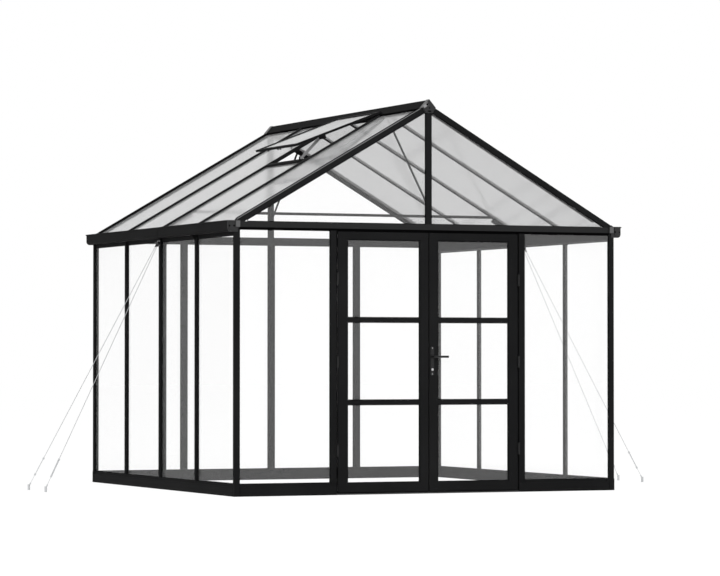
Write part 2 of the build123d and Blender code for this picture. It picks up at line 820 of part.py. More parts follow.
def vent_stay():
    """Flat stay from the sill's block up to the stud on the vent frame."""
    middle = vent_sill_x + vent_sill_width / 2
    foot = Vector(-middle, 0, roof_z(middle) + stay_block_height / 2)
    head = vent_plane.from_local_coords(Vector(stay_reach, 0, -(vent_frame_thickness + stay_lug_height) / 2))
    run = Vector(head.X - foot.X, 0, head.Z - foot.Z)
    middle_point = (foot.X + run.X / 2, stay_y[0], foot.Z + run.Z / 2)
    face = Plane(origin=middle_point, x_dir=run.normalized(), z_dir=(0, 1, 0))
    outline = SlotCenterToCenter(run.length, stay_width)
    for share in stay_peg_shares:
        outline -= Pos((share - 0.5) * run.length, 0) * Circle(stay_peg_radius)
    return extrude(face * outline, amount=stay_thickness)


# Double door
def hinge_heights():
    """Heights of the three hinges of a leaf."""
    return [leaf_bottom + share * (leaf_top - leaf_bottom) for share in hinge_height_shares]


def leaf_frame(side):
    """Welded frame of a door leaf, with slots for its panes."""
    widths = (side * meeting_gap / 2, side * leaf_outer_x)
    frame = block(widths, (leaf_front, leaf_back), (leaf_bottom, leaf_top))
    for facing in (front, back):
        frame = softened(frame, Axis.Z, (0, facing, 0), leaf_round)
    thin = (leaf_thickness - muntin_depth) / 2
    tools = []
    for row in range(leaf_panes):
        low, high, bottom, top = leaf_window(row)
        tools.append(block((side * low, side * high), (leaf_front, leaf_back), (bottom, top)))
        tools.append(leaf_pane(side, row, **slot))
        bead_xs = (side * (low - bead_width), side * (high + bead_width))
        bead_zs = (bottom - bead_width, top + bead_width)
        tools.append(block(bead_xs, (leaf_front, leaf_front + bead_depth), bead_zs))
        if row > 0:
            rise = (bottom - muntin_height, bottom)
            tools.append(block((side * low, side * high), (leaf_front, leaf_front + thin), rise))
            tools.append(block((side * low, side * high), (leaf_back - thin, leaf_back), rise))
    if side == right:
        tools.append(handle_hole(lever_height, spindle_radius + spindle_play))
        tools.append(handle_hole(lock_height, lock_radius + lock_play))
    return cut(frame, tools)


def jamb_stop(side):
    """Upright strip behind a jamb that covers the gap beside the leaf."""
    lap_x = side * (door_opening / 2 - stop_lap)
    seat_x = side * (door_opening / 2 + stop_back)
    strip = block((lap_x, seat_x), stop_ys, (base_top, header_bottom))
    return strip + block((lap_x, side * door_opening / 2), stop_ys, (threshold_height, base_top))


def level_stop(zs):
    """Strip across the doorway behind the leaves, between the upright strips."""
    reach = door_opening / 2 - stop_lap
    return block((-reach, reach), stop_ys, zs)


def leaf_knuckle(side, height):
    """Middle knuckle of a hinge with its flag on the leaf's edge."""
    half = hinge_length / 6 - hinge_end_play
    low, high = height - half, height + half
    axis_x = side * hinge_x
    barrel = rod((axis_x, hinge_y, low), (axis_x, hinge_y, high), hinge_radius)
    flag_xs = (side * leaf_outer_x, side * (leaf_outer_x + hinge_flag))
    flag = block(flag_xs, (hinge_y, hinge_y + hinge_flag_depth), (low, high))
    bore_radius = hinge_pin_radius + hinge_pin_play
    bore = rod((axis_x, hinge_y, low - overrun), (axis_x, hinge_y, high + overrun), bore_radius)
    return barrel + flag - bore


def jamb_knuckles(side, height):
    """Outer knuckles of a hinge with their pin and their flags on the jamb."""
    axis_x = side * hinge_x
    flag_xs = (side * (door_opening / 2 - hinge_flag), side * door_opening / 2)
    pin_ends = [(axis_x, hinge_y, height + sign * hinge_length / 2) for sign in (-1, 1)]
    whole = rod(*pin_ends, hinge_pin_radius)
    for sign in (-1, 1):
        near = height + sign * hinge_length / 6
        far = height + sign * hinge_length / 2
        whole += rod((axis_x, hinge_y, near), (axis_x, hinge_y, far), hinge_radius)
        whole += block(flag_xs, (hinge_y, hinge_y + hinge_flag_depth), (near, far))
    return whole


def handle_hole(height, radius):
    """Tool for a round hole through the right leaf and its handle plates."""
    return rod((handle_x, leaf_front - overrun, height), (handle_x, leaf_back + overrun, height), radius)


def handle_plate(outside):
    """Long back plate with round ends, on one face of the leaf."""
    y = leaf_front if outside else leaf_back + handle_plate_thickness
    face = Plane(origin=(handle_x, y, handle_plate_middle), x_dir=(0, 0, 1), z_dir=(0, -1, 0))
    outline = face * SlotOverall(handle_plate_height, handle_plate_width)
    plate = extrude(outline, amount=handle_plate_thickness)
    holes = [handle_hole(lever_height, spindle_radius + spindle_play)]
    holes.append(handle_hole(lock_height, lock_radius + lock_play))
    return cut(plate, holes)


def door_lever():
    """Pair of bent levers with round roses, on one spindle through the leaf."""
    outer_y = leaf_front - handle_plate_thickness - lever_gap
    inner_y = leaf_back + handle_plate_thickness + lever_gap
    whole = rod((handle_x, outer_y, lever_height), (handle_x, inner_y, lever_height), spindle_radius)
    for neck_y, facing in ((outer_y, front), (inner_y, back)):
        neck = (handle_x, neck_y, lever_height)
        rose_y = neck_y + facing * rose_thickness
        arm_y = neck_y + facing * (lever_standoff + lever_thickness / 2)
        elbow = (handle_x, arm_y, lever_height)
        tip = (handle_x + lever_reach, arm_y, lever_height)
        path = FilletPolyline(neck, elbow, tip, radius=lever_bend)
        face = Plane(origin=neck, x_dir=(1, 0, 0), z_dir=(0, facing, 0))
        whole += sweep(face * RectangleRounded(lever_thickness, lever_bar, lever_edge), path=path)
        whole += rod(neck, (handle_x, rose_y, lever_height), rose_radius)
    return whole


def lock_cylinder():
    """Key cylinder through the leaf and both plates."""
    reach = handle_plate_thickness + lock_stand
    outer = (handle_x, leaf_front - reach, lock_height)
    return rod(outer, (handle_x, leaf_back + reach, lock_height), lock_radius)


# Stay cables
def cable_ends(side, end):
    """Eye on the middle bar and eye of the ground anchor, with the way between them."""
    eye_x = bar_outer_x + bracket_thickness + bracket_lug / 2
    upper = Vector(side * eye_x, end * cable_spread, cable_top_height)
    lower = Vector(side * anchor_x, end * anchor_y, anchor_eye_height)
    return upper, lower, (lower - upper).normalized()


def stay_cable(side, end):
    """Wire with an open turnbuckle near the ground."""
    upper, lower, way = cable_ends(side, end)
    start = upper + way * socket_length
    finish = lower - way * socket_length
    whole = rod(tuple(start), tuple(finish), cable_radius)
    low = finish - way * turnbuckle_gap
    high = low - way * turnbuckle_length
    for collar, inward in ((low, -1), (high, 1)):
        whole += rod(tuple(collar), tuple(collar + way * inward * turnbuckle_collar), turnbuckle_radius)
    across = way.cross(Vector(0, 0, 1)).normalized() * turnbuckle_radius
    for shift in (across, -across):
        whole += rod(tuple(low + shift), tuple(high + shift), turnbuckle_bar)
    return whole


def cable_bracket(side):
    """Plate on the middle bar with one lug and socket for each cable."""
    outer = bar_outer_x + bracket_thickness
    zs = (cable_top_height - bracket_height / 2, cable_top_height + bracket_height / 2)
    whole = block((side * bar_outer_x, side * outer), (-bracket_width / 2, bracket_width / 2), zs)
    for end in ends:
        upper, lower, way = cable_ends(side, end)
        lug_ys = (upper.Y - bracket_lug / 2, upper.Y + bracket_lug / 2)
        lug_zs = (upper.Z - bracket_lug_height / 2, upper.Z + bracket_lug_height / 2)
        whole += block((side * outer, side * (outer + bracket_lug)), lug_ys, lug_zs)
        whole += rod(tuple(upper), tuple(upper + way * socket_length), socket_radius)
    return whole


def ground_anchor(side, end):
    """Head of a ground stake with the socket that its cable ends in."""
    upper, lower, way = cable_ends(side, end)
    stake = rod((lower.X, lower.Y, 0), (lower.X, lower.Y, anchor_height), anchor_radius)
    return stake + rod(tuple(lower - way * socket_length), tuple(lower), socket_radius)


def main():
    """Build every piece and write one file for each node."""
    os.makedirs("parts", exist_ok=True)

    inner_x = half_width - base_depth
    save("base_left", base_side(left))
    save("base_right", base_side(right))
    save("base_back", base_end(back, (-inner_x, inner_x)))
    save("base_front", *[base_end(front, (side * door_opening / 2, side * inner_x)) for side in sides])
    save("door_threshold", door_threshold())

    save("corner_posts", *[corner_post(side, end) for side in sides for end in ends])
    save("left_wall_bars", *[wall_bar(left, y) for y in bar_ys])
    save("right_wall_bars", *[wall_bar(right, y) for y in bar_ys])
    half_stud = stud_width / 2
    save("back_wall_studs", *[end_post(back, (x - half_stud, x + half_stud), stud_depth) for x in stud_xs])
    jamb_xs = (door_opening / 2, door_opening / 2 + jamb_width)
    jambs = [end_post(front, (side * jamb_xs[0], side * jamb_xs[1]), jamb_depth) for side in sides]
    save("door_jambs", *jambs)
    save("front_header", header(front))
    save("back_header", header(back))
    save("king_posts", *[king_post(end) for end in ends])

    save("eave_rails", *[eave_rail(side) for side in sides])
    save("left_gutter", gutter(left), gutter_sleeve(left))
    save("right_gutter", gutter(right), gutter_sleeve(right))
    save("gutter_end_caps", *[gutter_end_cap(side, end) for side in sides for end in ends])
    save("gutter_gussets", *[gutter_gusset(side) for side in sides])

    save("left_rafters", *[rafter(left, y) for y in bar_ys])
    save("right_rafters", *[rafter(right, y) for y in bar_ys])
    save("front_gable_rafters", *[gable_rafter(side, front) for side in sides])
    save("back_gable_rafters", *[gable_rafter(side, back) for side in sides])
    save("ridge_beam", ridge_beam())
    save("ridge_end_caps", *[ridge_end_cap(end) for end in ends])
    save("portal_knees", *[portal_knee(side) for side in sides])
    save("collar_tie", collar_tie())
    save("ridge_braces", *[ridge_brace(end) for end in ends])

    save("vent_sill", vent_sill())
    save("vent_frame", vent_frame())
    save("vent_pane", vent_glass())
    save("vent_stay", vent_stay())

    save("left_wall_glass", *[side_pane(left, bay) for bay in bays])
    save("right_wall_glass", *[side_pane(right, bay) for bay in bays])
    save("front_wall_glass", *[end_pane(front, front_gaps[side]) for side in sides])
    save("back_wall_glass", *[end_pane(back, gap) for gap in back_gaps])
    save("gable_glass", *[gable_pane(end, side) for end in ends for side in sides])
    save("left_roof_panels", *[roof_pane(left, bay) for bay in bays])
    save("right_roof_panels", *[roof_pane(right, bay) for bay in bays])

    for side, name in ((left, "left"), (right, "right")):
        save(f"{name}_door_frame", leaf_frame(side))
        save(f"{name}_door_glass", *[leaf_pane(side, row) for row in range(leaf_panes)])
        save(f"{name}_door_hinges", *[leaf_knuckle(side, height) for height in hinge_heights()])
    head_stop = level_stop((header_bottom - head_stop_height, header_bottom))
    foot_stop = level_stop((threshold_height, threshold_height + foot_stop_height))
    save("door_stops", *[jamb_stop(side) for side in sides], head_stop, foot_stop)
    jamb_hinges = [jamb_knuckles(side, height) for side in sides for height in hinge_heights()]
    save("jamb_hinges", *jamb_hinges)
    save("handle_plates", handle_plate(True), handle_plate(False))
    save("door_lever", door_lever())
    save("lock_cylinder", lock_cylinder())

    save("stay_cables", *[stay_cable(side, end) for side in sides for end in ends])
    save("cable_brackets", *[cable_bracket(side) for side in sides])
    save("ground_anchors", *[ground_anchor(side, end) for side in sides for end in ends])


main()
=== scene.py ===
import json
import math

import bmesh
import bpy
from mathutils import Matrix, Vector


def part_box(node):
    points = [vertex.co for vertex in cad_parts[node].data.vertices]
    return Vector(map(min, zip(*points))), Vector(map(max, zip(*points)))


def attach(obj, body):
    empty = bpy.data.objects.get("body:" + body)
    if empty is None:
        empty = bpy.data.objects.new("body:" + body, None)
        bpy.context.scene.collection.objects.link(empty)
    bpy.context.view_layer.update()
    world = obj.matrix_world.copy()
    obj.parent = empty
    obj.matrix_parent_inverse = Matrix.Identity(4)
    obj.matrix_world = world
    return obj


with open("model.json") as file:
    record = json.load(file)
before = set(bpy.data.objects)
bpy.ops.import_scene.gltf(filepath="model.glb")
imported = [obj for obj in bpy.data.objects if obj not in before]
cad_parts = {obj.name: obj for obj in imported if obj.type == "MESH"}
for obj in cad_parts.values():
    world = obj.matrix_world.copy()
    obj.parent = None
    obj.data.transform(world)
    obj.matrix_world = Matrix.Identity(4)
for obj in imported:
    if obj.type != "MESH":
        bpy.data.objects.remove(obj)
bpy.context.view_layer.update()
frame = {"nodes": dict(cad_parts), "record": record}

# Camera fitted to the frame lines of the greenhouse, metres and degrees
camera_place = (-9.9945, -23.3034, 0.9713)
camera_yaw = 23.4687
camera_pitch = 1.2073
camera_lens = 166.55
camera_reach = 300.0
sensor_width = 36.0

# Light levels and the floor
surround_level = 0.62
key_level = 1.35
fill_level = 0.35
side_level = 0.3
lamp_aim = (0.0, 0.0, 1.2)
floor_reach = 90.0
floor_glow = 0.9

# Colours of the finishes, linear
white = (1.0, 1.0, 1.0, 1.0)
frame_black = (0.0098, 0.0099, 0.0102, 1.0)
frame_worn = (0.0142, 0.0143, 0.0147, 1.0)
# Lighter copy of the frame's black for the roof rafters: painted light, the brightness their tops catch from
# above
rafter_black_with_painted_light = (0.0165, 0.0166, 0.017, 1.0)
rafter_worn_with_painted_light = (0.023, 0.0231, 0.0236, 1.0)
# Lighter copy of the frame's black for the headers: painted light, the brightness their faces catch as they
# lean down towards the pale floor
header_black_with_painted_light = (0.016, 0.0161, 0.0165, 1.0)
# Darker copy of the frame's black for the ridge: painted shade that holds down the light its upward-facing
# flanks catch
ridge_black_with_painted_shade = (0.0046, 0.0047, 0.0049, 1.0)
ridge_worn_with_painted_shade = (0.0066, 0.0067, 0.0069, 1.0)
threshold_grey = (0.045, 0.045, 0.046, 1.0)
threshold_worn = (0.07, 0.07, 0.07, 1.0)
clip_grey = (0.21, 0.211, 0.213, 1.0)
clip_pale = (0.27, 0.271, 0.273, 1.0)
fitting_black = (0.0085, 0.0086, 0.009, 1.0)
cap_black = (0.006, 0.0061, 0.0064, 1.0)
cap_worn = (0.01, 0.0101, 0.0104, 1.0)
rubber_black = (0.001, 0.001, 0.0011, 1.0)
rubber_dusty = (0.0016, 0.0016, 0.0017, 1.0)
# Grey of the foot bolts and the lap covers; on the gable ledges the same grey is a painted highlight
satin_and_ledge_highlight_grey = (0.075, 0.0752, 0.076, 1.0)
satin_and_ledge_highlight_pale = (0.1, 0.1002, 0.101, 1.0)
panel_grey = (0.672, 0.673, 0.675, 1.0)
panel_shadow = (0.6, 0.6, 0.6, 1.0)
glass_shadow = (0.92, 0.92, 0.92, 1.0)
steel_grey = (0.66, 0.66, 0.67, 1.0)
wire_grey = (0.62, 0.63, 0.64, 1.0)
floor_grey = (0.82, 0.82, 0.82, 1.0)
floor_seen_grey = (0.16, 0.16, 0.16, 1.0)

# Grain, gloss and clarity of the finishes
coat_roughness = (0.5, 0.65)
coat_gloss = 0.012
coat_bump = 0.08
coat_grain_scale = 900.0
coat_grain_detail = 2.0
coat_grain_height = 0.0004
coat_drift_scale = 2.2
coat_drift_detail = 4.0
coat_drift_span = (0.35, 0.85)
brush_scale = 260.0
brush_detail = 4.0
spangle_scale = 90.0
thin_pane_ior = 1.06
glass_clarity = 0.96
panel_clarity = 0.74
panel_frost = (0.065, 0.085)
panel_mottle_scale = 3.0
panel_mottle_detail = 3.0

# Sizes of rubber beads and seals, metres
gasket_radius = 0.0022
gasket_corner = 0.006
gasket_stand = 0.0012
gasket_sides = 6
gasket_corner_points = 3
edge_chamfer = 0.0006
# Black strip under the header's lip: painted shade for the shadow under its brow
header_shade_strip_thickness = 0.0052
header_shade_strip_height = 0.0146
header_lip_setback = 0.008
ridge_seal_width = 0.007
ridge_seal_depths = (0.0004, 0.0141)
edge_seal_width = 0.006
edge_seal_height = 0.004
edge_seal_chamfer = 0.001
edge_seal_inset = 0.004
edge_seal_rise = 0.002
edge_seal_foot_gap = 0.03
stop_seal_width = 0.01
stop_seal_thickness = 0.003
stop_seal_lap = 0.001
meeting_seal_reach = 0.006
meeting_seal_depth = 0.005
cap_plug_size = (0.0236, 0.0098)
cap_plug_depth = 0.006
cap_plug_drop = 0.0868
buffer_size = (0.008, 0.0095, 0.012)
buffer_chamfer = 0.0015
buffer_shares = (0.3, 0.54, 0.6)

# Sizes of trims, clips and liners, metres
trim_thickness = 0.0012
trim_margin = 0.002
ridge_gap = 0.01
ledge_inset = 0.015
ledge_drop = 0.002
lap_block_reach = 0.02
lap_block_width = 0.036
lap_block_height = 0.05
clip_width = 0.02
clip_low = (0.047, 0.058)
clip_high = (0.011, 0.033)
clip_thickness = 0.0014
# Black lines of painted shade where the corner posts lap the base
corner_shade_width = 0.003
corner_shade_stand = 0.0011
base_face_top = 0.0655
liner_head_gap = 0.006
liner_foot_gap = 0.14
liner_inward = 0.019
liner_width = 0.0395
liner_depths = (0.0264, 0.0409)
stay_channel_width = 0.022
stay_channel_depth = 0.009
stay_channel_chamfer = 0.002
stay_channel_shares = (0.16, 0.97)
stay_end_round = 0.007
catch_share = 0.86
catch_size = (0.022, 0.017, 0.003)
rail_search_gap = 0.02

# Sizes and places of screws, bolts and the lock's plugs, metres
cap_rim = 0.01
cap_screw_insets = (0.009, 0.044)
cap_screw_sink = 0.001
cap_screw_drop = 0.039
cap_screw_radius = 0.0062
ridge_screw_drop = 0.064
ridge_screw_radius = 0.0055
clip_screw = (0.018, 0.0385)
clip_screw_radius = 0.0085
bracket_thickness = 0.004
bracket_height = 0.046
bracket_screw_inset = 0.008
bracket_screw_radius = 0.0035
bolt_radius = 0.005
stud_bolt_rise = 0.012
base_bolt_drop = 0.041
plate_screw_inset = 0.011
plate_screw_radius = 0.0034
plug_radius = 0.0062
plug_proud = 0.0007
plug_facets = 12
key_slot_half = 0.0008
key_slot_share = 0.8

# Screw head of unit radius: shares of its radius out and up
head_facets = 12
head_ring_shares = ((0.98, -0.15), (1.0, 0.2), (0.9, 0.42), (0.66, 0.55))
socket_share = 0.46
socket_ring_shares = ((1.0, 0.57), (0.96, 0.2))

# Stay wires and their ends, metres
strand_count = 6
strand_sides = 5
strand_radius = 0.0006
strand_ring = 0.0018
strand_lay = 0.055
strand_step = 0.005
lug_reach = 0.012
lug_spread = 0.014
lug_drop = 0.023
eye_inset = 0.009
eye_height = 0.028
lug_clearance = 0.034
turnbuckle_reach = 0.25

# Roof pitch, and sizes of the frame's members in metres
roof_pitch = math.radians(30.0)
glass_bite = 0.009
pane_thickness = 0.004
bar_half = 0.013
stud_half = 0.023
gable_rafter_depth = 0.041
muntin_width = 0.034
leaf_pane_rows = 3

# Places read from the frame's nodes
half_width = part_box("base_right")[1][0]
half_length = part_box("base_back")[1][1]
ledge_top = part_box("door_jambs")[0][2]
rail_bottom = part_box("eave_rails")[0][2]
eave_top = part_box("right_gutter")[1][2]
gutter_inner_x = -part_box("left_gutter")[1][0]
header_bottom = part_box("front_header")[0][2]
header_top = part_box("front_header")[1][2]
jamb_outer_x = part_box("door_jambs")[1][0]
post_inner_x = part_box("front_wall_glass")[1][0] - glass_bite
post_inner_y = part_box("left_wall_glass")[1][1] - glass_bite
panel_inner_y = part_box("right_roof_panels")[1][1] - glass_bite
side_glass_xs = (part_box("right_wall_glass")[0][0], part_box("right_wall_glass")[1][0])
end_glass_ys = (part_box("gable_glass")[1][1] - pane_thickness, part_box("gable_glass")[1][1])
bar_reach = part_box("left_wall_bars")[1][1] - bar_half
bar_outer_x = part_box("right_wall_bars")[1][0]
bar_lines = (-bar_reach, 0.0, bar_reach)
stud_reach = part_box("back_wall_studs")[1][0] - stud_half
stud_lines = (-stud_reach, 0.0, stud_reach)
king_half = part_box("king_posts")[1][0]
gable_rafter_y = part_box("back_gable_rafters")[0][1]
rafter_low, rafter_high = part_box("right_rafters")
roof_peak = rafter_high[2] + rafter_low[0] * math.tan(roof_pitch)
ridge_wing_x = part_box("ridge_beam")[1][0]
ridge_cap_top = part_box("ridge_end_caps")[1][2]
ridge_cap_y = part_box("ridge_end_caps")[1][1]
cap_face_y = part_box("gutter_end_caps")[1][1]

# Left and right, front and back, the vent's side and bay, and the ways across a strip
sides = (-1, 1)
ends = (-1, 1)
front = -1
vent_bay = (-1, 1)
across_x = (1, 0, 0)
across_y = (0, 1, 0)


def roof_z(x, depth=0.0):
    """Height of the plane that lies a depth below the rafters' top faces."""
    return roof_peak - abs(x) * math.tan(roof_pitch) - depth / math.cos(roof_pitch)


def gaps_between(edge, lines, half):
    """Clear gaps between members on lines, from one outer edge to the other."""
    starts = [-edge] + [line + half for line in lines]
    stops = [line - half for line in lines] + [edge]
    return list(zip(starts, stops))


# Shader nodes that the materials share
def object_noise(nodes, links, detail, scale=None):
    """Noise on the piece's own coordinates."""
    place = nodes.new("ShaderNodeTexCoord")
    noise = nodes.new("ShaderNodeTexNoise")
    noise.inputs["Detail"].default_value = detail
    if scale is not None:
        noise.inputs["Scale"].default_value = scale
    links.new(place.outputs["Object"], noise.inputs["Vector"])
    return noise


def remapped(nodes, links, value, from_span=(0.0, 1.0), to_span=(0.0, 1.0)):
    """Value moved from one span to another."""
    node = nodes.new("ShaderNodeMapRange")
    for label, level in zip(("From Min", "From Max", "To Min", "To Max"), (*from_span, *to_span)):
        node.inputs[label].default_value = level
    links.new(value, node.inputs["Value"])
    return node


def mixed_shaders(nodes, links, factor, first, second):
    """Blend of two shaders by a factor."""
    blend = nodes.new("ShaderNodeMixShader")
    links.new(factor, blend.inputs["Fac"])
    links.new(first, blend.inputs[1])
    links.new(second, blend.inputs[2])
    return blend.outputs["Shader"]


def new_group(name, inputs, outputs):
    """Empty shader group with named inputs and outputs."""
    group = bpy.data.node_groups.new(name, "ShaderNodeTree")
    for label, kind, value in inputs:
        socket = group.interface.new_socket(label, in_out="INPUT", socket_type=kind)
        socket.default_value = value
    for label, kind in outputs:
        group.interface.new_socket(label, in_out="OUTPUT", socket_type=kind)
    entry = group.nodes.new("NodeGroupInput")
    leave = group.nodes.new("NodeGroupOutput")
    return group, entry, leave


def powder_coat_group():
    """Orange-peel grain and slow tone drift of a powder coat."""
    group, entry, leave = new_group(
        "powder_coat",
        [
            ("Tone", "NodeSocketColor", frame_black),
            ("Lighter Tone", "NodeSocketColor", frame_worn),
            ("Grain Scale", "NodeSocketFloat", coat_grain_scale),
            ("Drift Scale", "NodeSocketFloat", coat_drift_scale),
            ("Roughness Low", "NodeSocketFloat", coat_roughness[0]),
            ("Roughness High", "NodeSocketFloat", coat_roughness[1]),
        ],
        [("Colour", "NodeSocketColor"), ("Roughness", "NodeSocketFloat"), ("Grain", "NodeSocketFloat")],
    )
    nodes, links = group.nodes, group.links
    grain = object_noise(nodes, links, coat_grain_detail)
    drift = object_noise(nodes, links, coat_drift_detail)
    links.new(entry.outputs["Grain Scale"], grain.inputs["Scale"])
    links.new(entry.outputs["Drift Scale"], drift.inputs["Scale"])
    wear = remapped(nodes, links, drift.outputs["Fac"], from_span=coat_drift_span)
    tone = nodes.new("ShaderNodeMix")
    tone.data_type = "RGBA"
    links.new(wear.outputs["Result"], tone.inputs["Factor"])
    links.new(entry.outputs["Tone"], tone.inputs["A"])
    links.new(entry.outputs["Lighter Tone"], tone.inputs["B"])
    shine = remapped(nodes, links, grain.outputs["Fac"])
    links.new(entry.outputs["Roughness Low"], shine.inputs["To Min"])
    links.new(entry.outputs["Roughness High"], shine.inputs["To Max"])
    links.new(tone.outputs["Result"], leave.inputs["Colour"])
    links.new(shine.outputs["Result"], leave.inputs["Roughness"])
    links.new(grain.outputs["Fac"], leave.inputs["Grain"])
    return group


powder_coat = powder_coat_group()


# Materials
def new_material(name):
    """Material with its nodes, links and Principled shader."""
    material = bpy.data.materials.new(name)
    material.use_nodes = True
    nodes = material.node_tree.nodes
    return material, nodes, material.node_tree.links, nodes["Principled BSDF"]


def coated(
    name, tone, lighter, roughness=coat_roughness, gloss=coat_gloss, bump=coat_bump, grain=coat_grain_scale
):
    """Painted or moulded finish with the powder coat's grain."""
    material, nodes, links, shader = new_material(name)
    coat = nodes.new("ShaderNodeGroup")
    coat.node_tree = powder_coat
    coat.inputs["Tone"].default_value = tone
    coat.inputs["Lighter Tone"].default_value = lighter
    coat.inputs["Grain Scale"].default_value = grain
    coat.inputs["Roughness Low"].default_value = roughness[0]
    coat.inputs["Roughness High"].default_value = roughness[1]
    raised = nodes.new("ShaderNodeBump")
    raised.inputs["Strength"].default_value = bump
    raised.inputs["Distance"].default_value = coat_grain_height
    links.new(coat.outputs["Colour"], shader.inputs["Base Color"])
    links.new(coat.outputs["Roughness"], shader.inputs["Roughness"])
    links.new(coat.outputs["Grain"], raised.inputs["Height"])
    links.new(raised.outputs["Normal"], shader.inputs["Normal"])
    shader.inputs["Specular IOR Level"].default_value = gloss
    return material


def lit_through(nodes, links, shader, tint):
    """Let lamp light pass a see-through material by its shadow rays."""
    path = nodes.new("ShaderNodeLightPath")
    clear = nodes.new("ShaderNodeBsdfTransparent")
    clear.inputs["Color"].default_value = tint
    blend = mixed_shaders(
        nodes, links, path.outputs["Is Shadow Ray"], shader.outputs["BSDF"], clear.outputs["BSDF"]
    )
    links.new(blend, nodes["Material Output"].inputs["Surface"])


def clear_glass_material():
    """Clear float glass."""
    material, nodes, links, shader = new_material("clear_float_glass")
    shader.inputs["Base Color"].default_value = white
    shader.inputs["Roughness"].default_value = 0.0
    shader.inputs["Transmission Weight"].default_value = glass_clarity
    shader.inputs["IOR"].default_value = thin_pane_ior
    lit_through(nodes, links, shader, glass_shadow)
    return material


def opal_panel_material():
    """Frosted roof sheet that passes soft light."""
    material, nodes, links, shader = new_material("opal_roof_sheet")
    shader.inputs["Base Color"].default_value = panel_grey
    shader.inputs["Transmission Weight"].default_value = panel_clarity
    shader.inputs["IOR"].default_value = thin_pane_ior
    mottle = object_noise(nodes, links, panel_mottle_detail, panel_mottle_scale)
    frost = remapped(nodes, links, mottle.outputs["Fac"], to_span=panel_frost)
    links.new(frost.outputs["Result"], shader.inputs["Roughness"])
    lit_through(nodes, links, shader, panel_shadow)
    return material


def steel_material(name, tone, roughness, scale):
    """Metal with brushing or spangle in its roughness."""
    material, nodes, links, shader = new_material(name)
    shader.inputs["Base Color"].default_value = tone
    shader.inputs["Metallic"].default_value = 1.0
    brush = object_noise(nodes, links, brush_detail, scale)
    shine = remapped(nodes, links, brush.outputs["Fac"], to_span=roughness)
    links.new(shine.outputs["Result"], shader.inputs["Roughness"])
    return material


black_frame = coated("black_frame_coat", frame_black, frame_worn)
# The rafters' lighter copy of the frame coat carries painted light
rafter_coat_with_painted_light = coated("rafter_coat_with_painted_light", rafter_black_with_painted_light, rafter_worn_with_painted_light)
# The ridge's darker copy of the frame coat carries painted shade
ridge_coat_with_painted_shade = coated("ridge_coat_with_painted_shade", ridge_black_with_painted_shade, ridge_worn_with_painted_shade)
# The headers' lighter copy of the frame coat carries painted light
header_coat_with_painted_light = coated("header_coat_with_painted_light", header_black_with_painted_light, frame_worn, roughness=(0.4, 0.55), gloss=0.1)
threshold_coat = coated("threshold_coat", threshold_grey, threshold_worn, roughness=(0.4, 0.6), gloss=0.3)
black_fitting = coated(
    "black_fitting_coat", fitting_black, frame_worn, roughness=(0.3, 0.42), gloss=0.25, bump=0.04
)
cap_plastic = coated(
    "cap_plastic_black", cap_black, cap_worn, roughness=(0.28, 0.38), gloss=0.42, bump=0.06, grain=600.0
)
clip_satin = coated("clip_satin_grey", clip_grey, clip_pale, roughness=(0.3, 0.45), gloss=0.4, bump=0.05)
# Satin grey; on the gable ledges it paints the highlight along their tops
satin_and_ledge_highlight = coated("satin_grey_and_ledge_highlight_coat", satin_and_ledge_highlight_grey, satin_and_ledge_highlight_pale, roughness=(0.35, 0.5), gloss=0.3, bump=0.05)
black_rubber = coated(
    "black_rubber", rubber_black, rubber_dusty, roughness=(0.7, 0.85), bump=0.05, grain=500.0
)
clear_glass = clear_glass_material()
opal_panel = opal_panel_material()
bright_steel = steel_material("satin_steel", steel_grey, roughness=(0.28, 0.42), scale=brush_scale)
galvanised = steel_material("galvanised_wire", wire_grey, roughness=(0.32, 0.5), scale=spangle_scale)

slot_finish = {
    "black_frame": black_frame,
    "black_fitting": black_fitting,
    "cap_plastic": cap_plastic,
    "clear_glass": clear_glass,
    "opal_panel": opal_panel,
    "bright_steel": bright_steel,
    "galvanised_steel": galvanised,
}
own_finish = {
    "door_threshold": threshold_coat,
    "front_header": header_coat_with_painted_light,
    "back_header": header_coat_with_painted_light,
    "left_rafters": rafter_coat_with_painted_light,
    "right_rafters": rafter_coat_with_painted_light,
    "ridge_beam": ridge_coat_with_painted_shade,
    "vent_stay": clip_satin,
}


def finish_node(node, material):
    """Give every material slot of a CAD node one finish."""
    piece = frame["nodes"][node]
    if not piece.material_slots:
        piece.data.materials.append(material)
    for place in piece.material_slots:
        place.material = material


for subpart in frame["record"]["subparts"]:
    node = subpart["node"]
    finish_node(node, own_finish.get(node, slot_finish[subpart["material_slot"]]))


# Meshes of the added pieces
def finished(name, mesh, body):
    """Piece at the origin that rides a body."""
    piece = bpy.data.objects.new(name, mesh)
    bpy.context.collection.objects.link(piece)
    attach(piece, body)


def closed_mesh(name, build):
    """Mesh of a finished build, with its faces outwards."""
    bmesh.ops.recalc_face_normals(build, faces=build.faces)
    mesh = bpy.data.meshes.new(name)
    build.to_mesh(mesh)
    build.free()
    return mesh


def bridged(build, rings):
    """Skin closed rings of points, one after the other, and cap both ends."""
    loops = [[build.verts.new(place) for place in ring] for ring in rings]
    for low, high in zip(loops, loops[1:]):
        for step in range(len(low)):
            follow = (step + 1) % len(low)
            build.faces.new((low[step], low[follow], high[follow], high[step]))
    build.faces.new(loops[0])
    build.faces.new(loops[-1])


def chamfered(width, height, chamfer=edge_chamfer):
    """Section of a flat strip with cut corners, centred."""
    half_w, half_h = width / 2, height / 2
    inner_w, inner_h = half_w - chamfer, half_h - chamfer
    return [
        (half_w, -inner_h), (half_w, inner_h), (inner_w, half_h), (-inner_w, half_h),
        (-half_w, inner_h), (-half_w, -inner_h), (-inner_w, -half_h), (inner_w, -half_h),
    ]


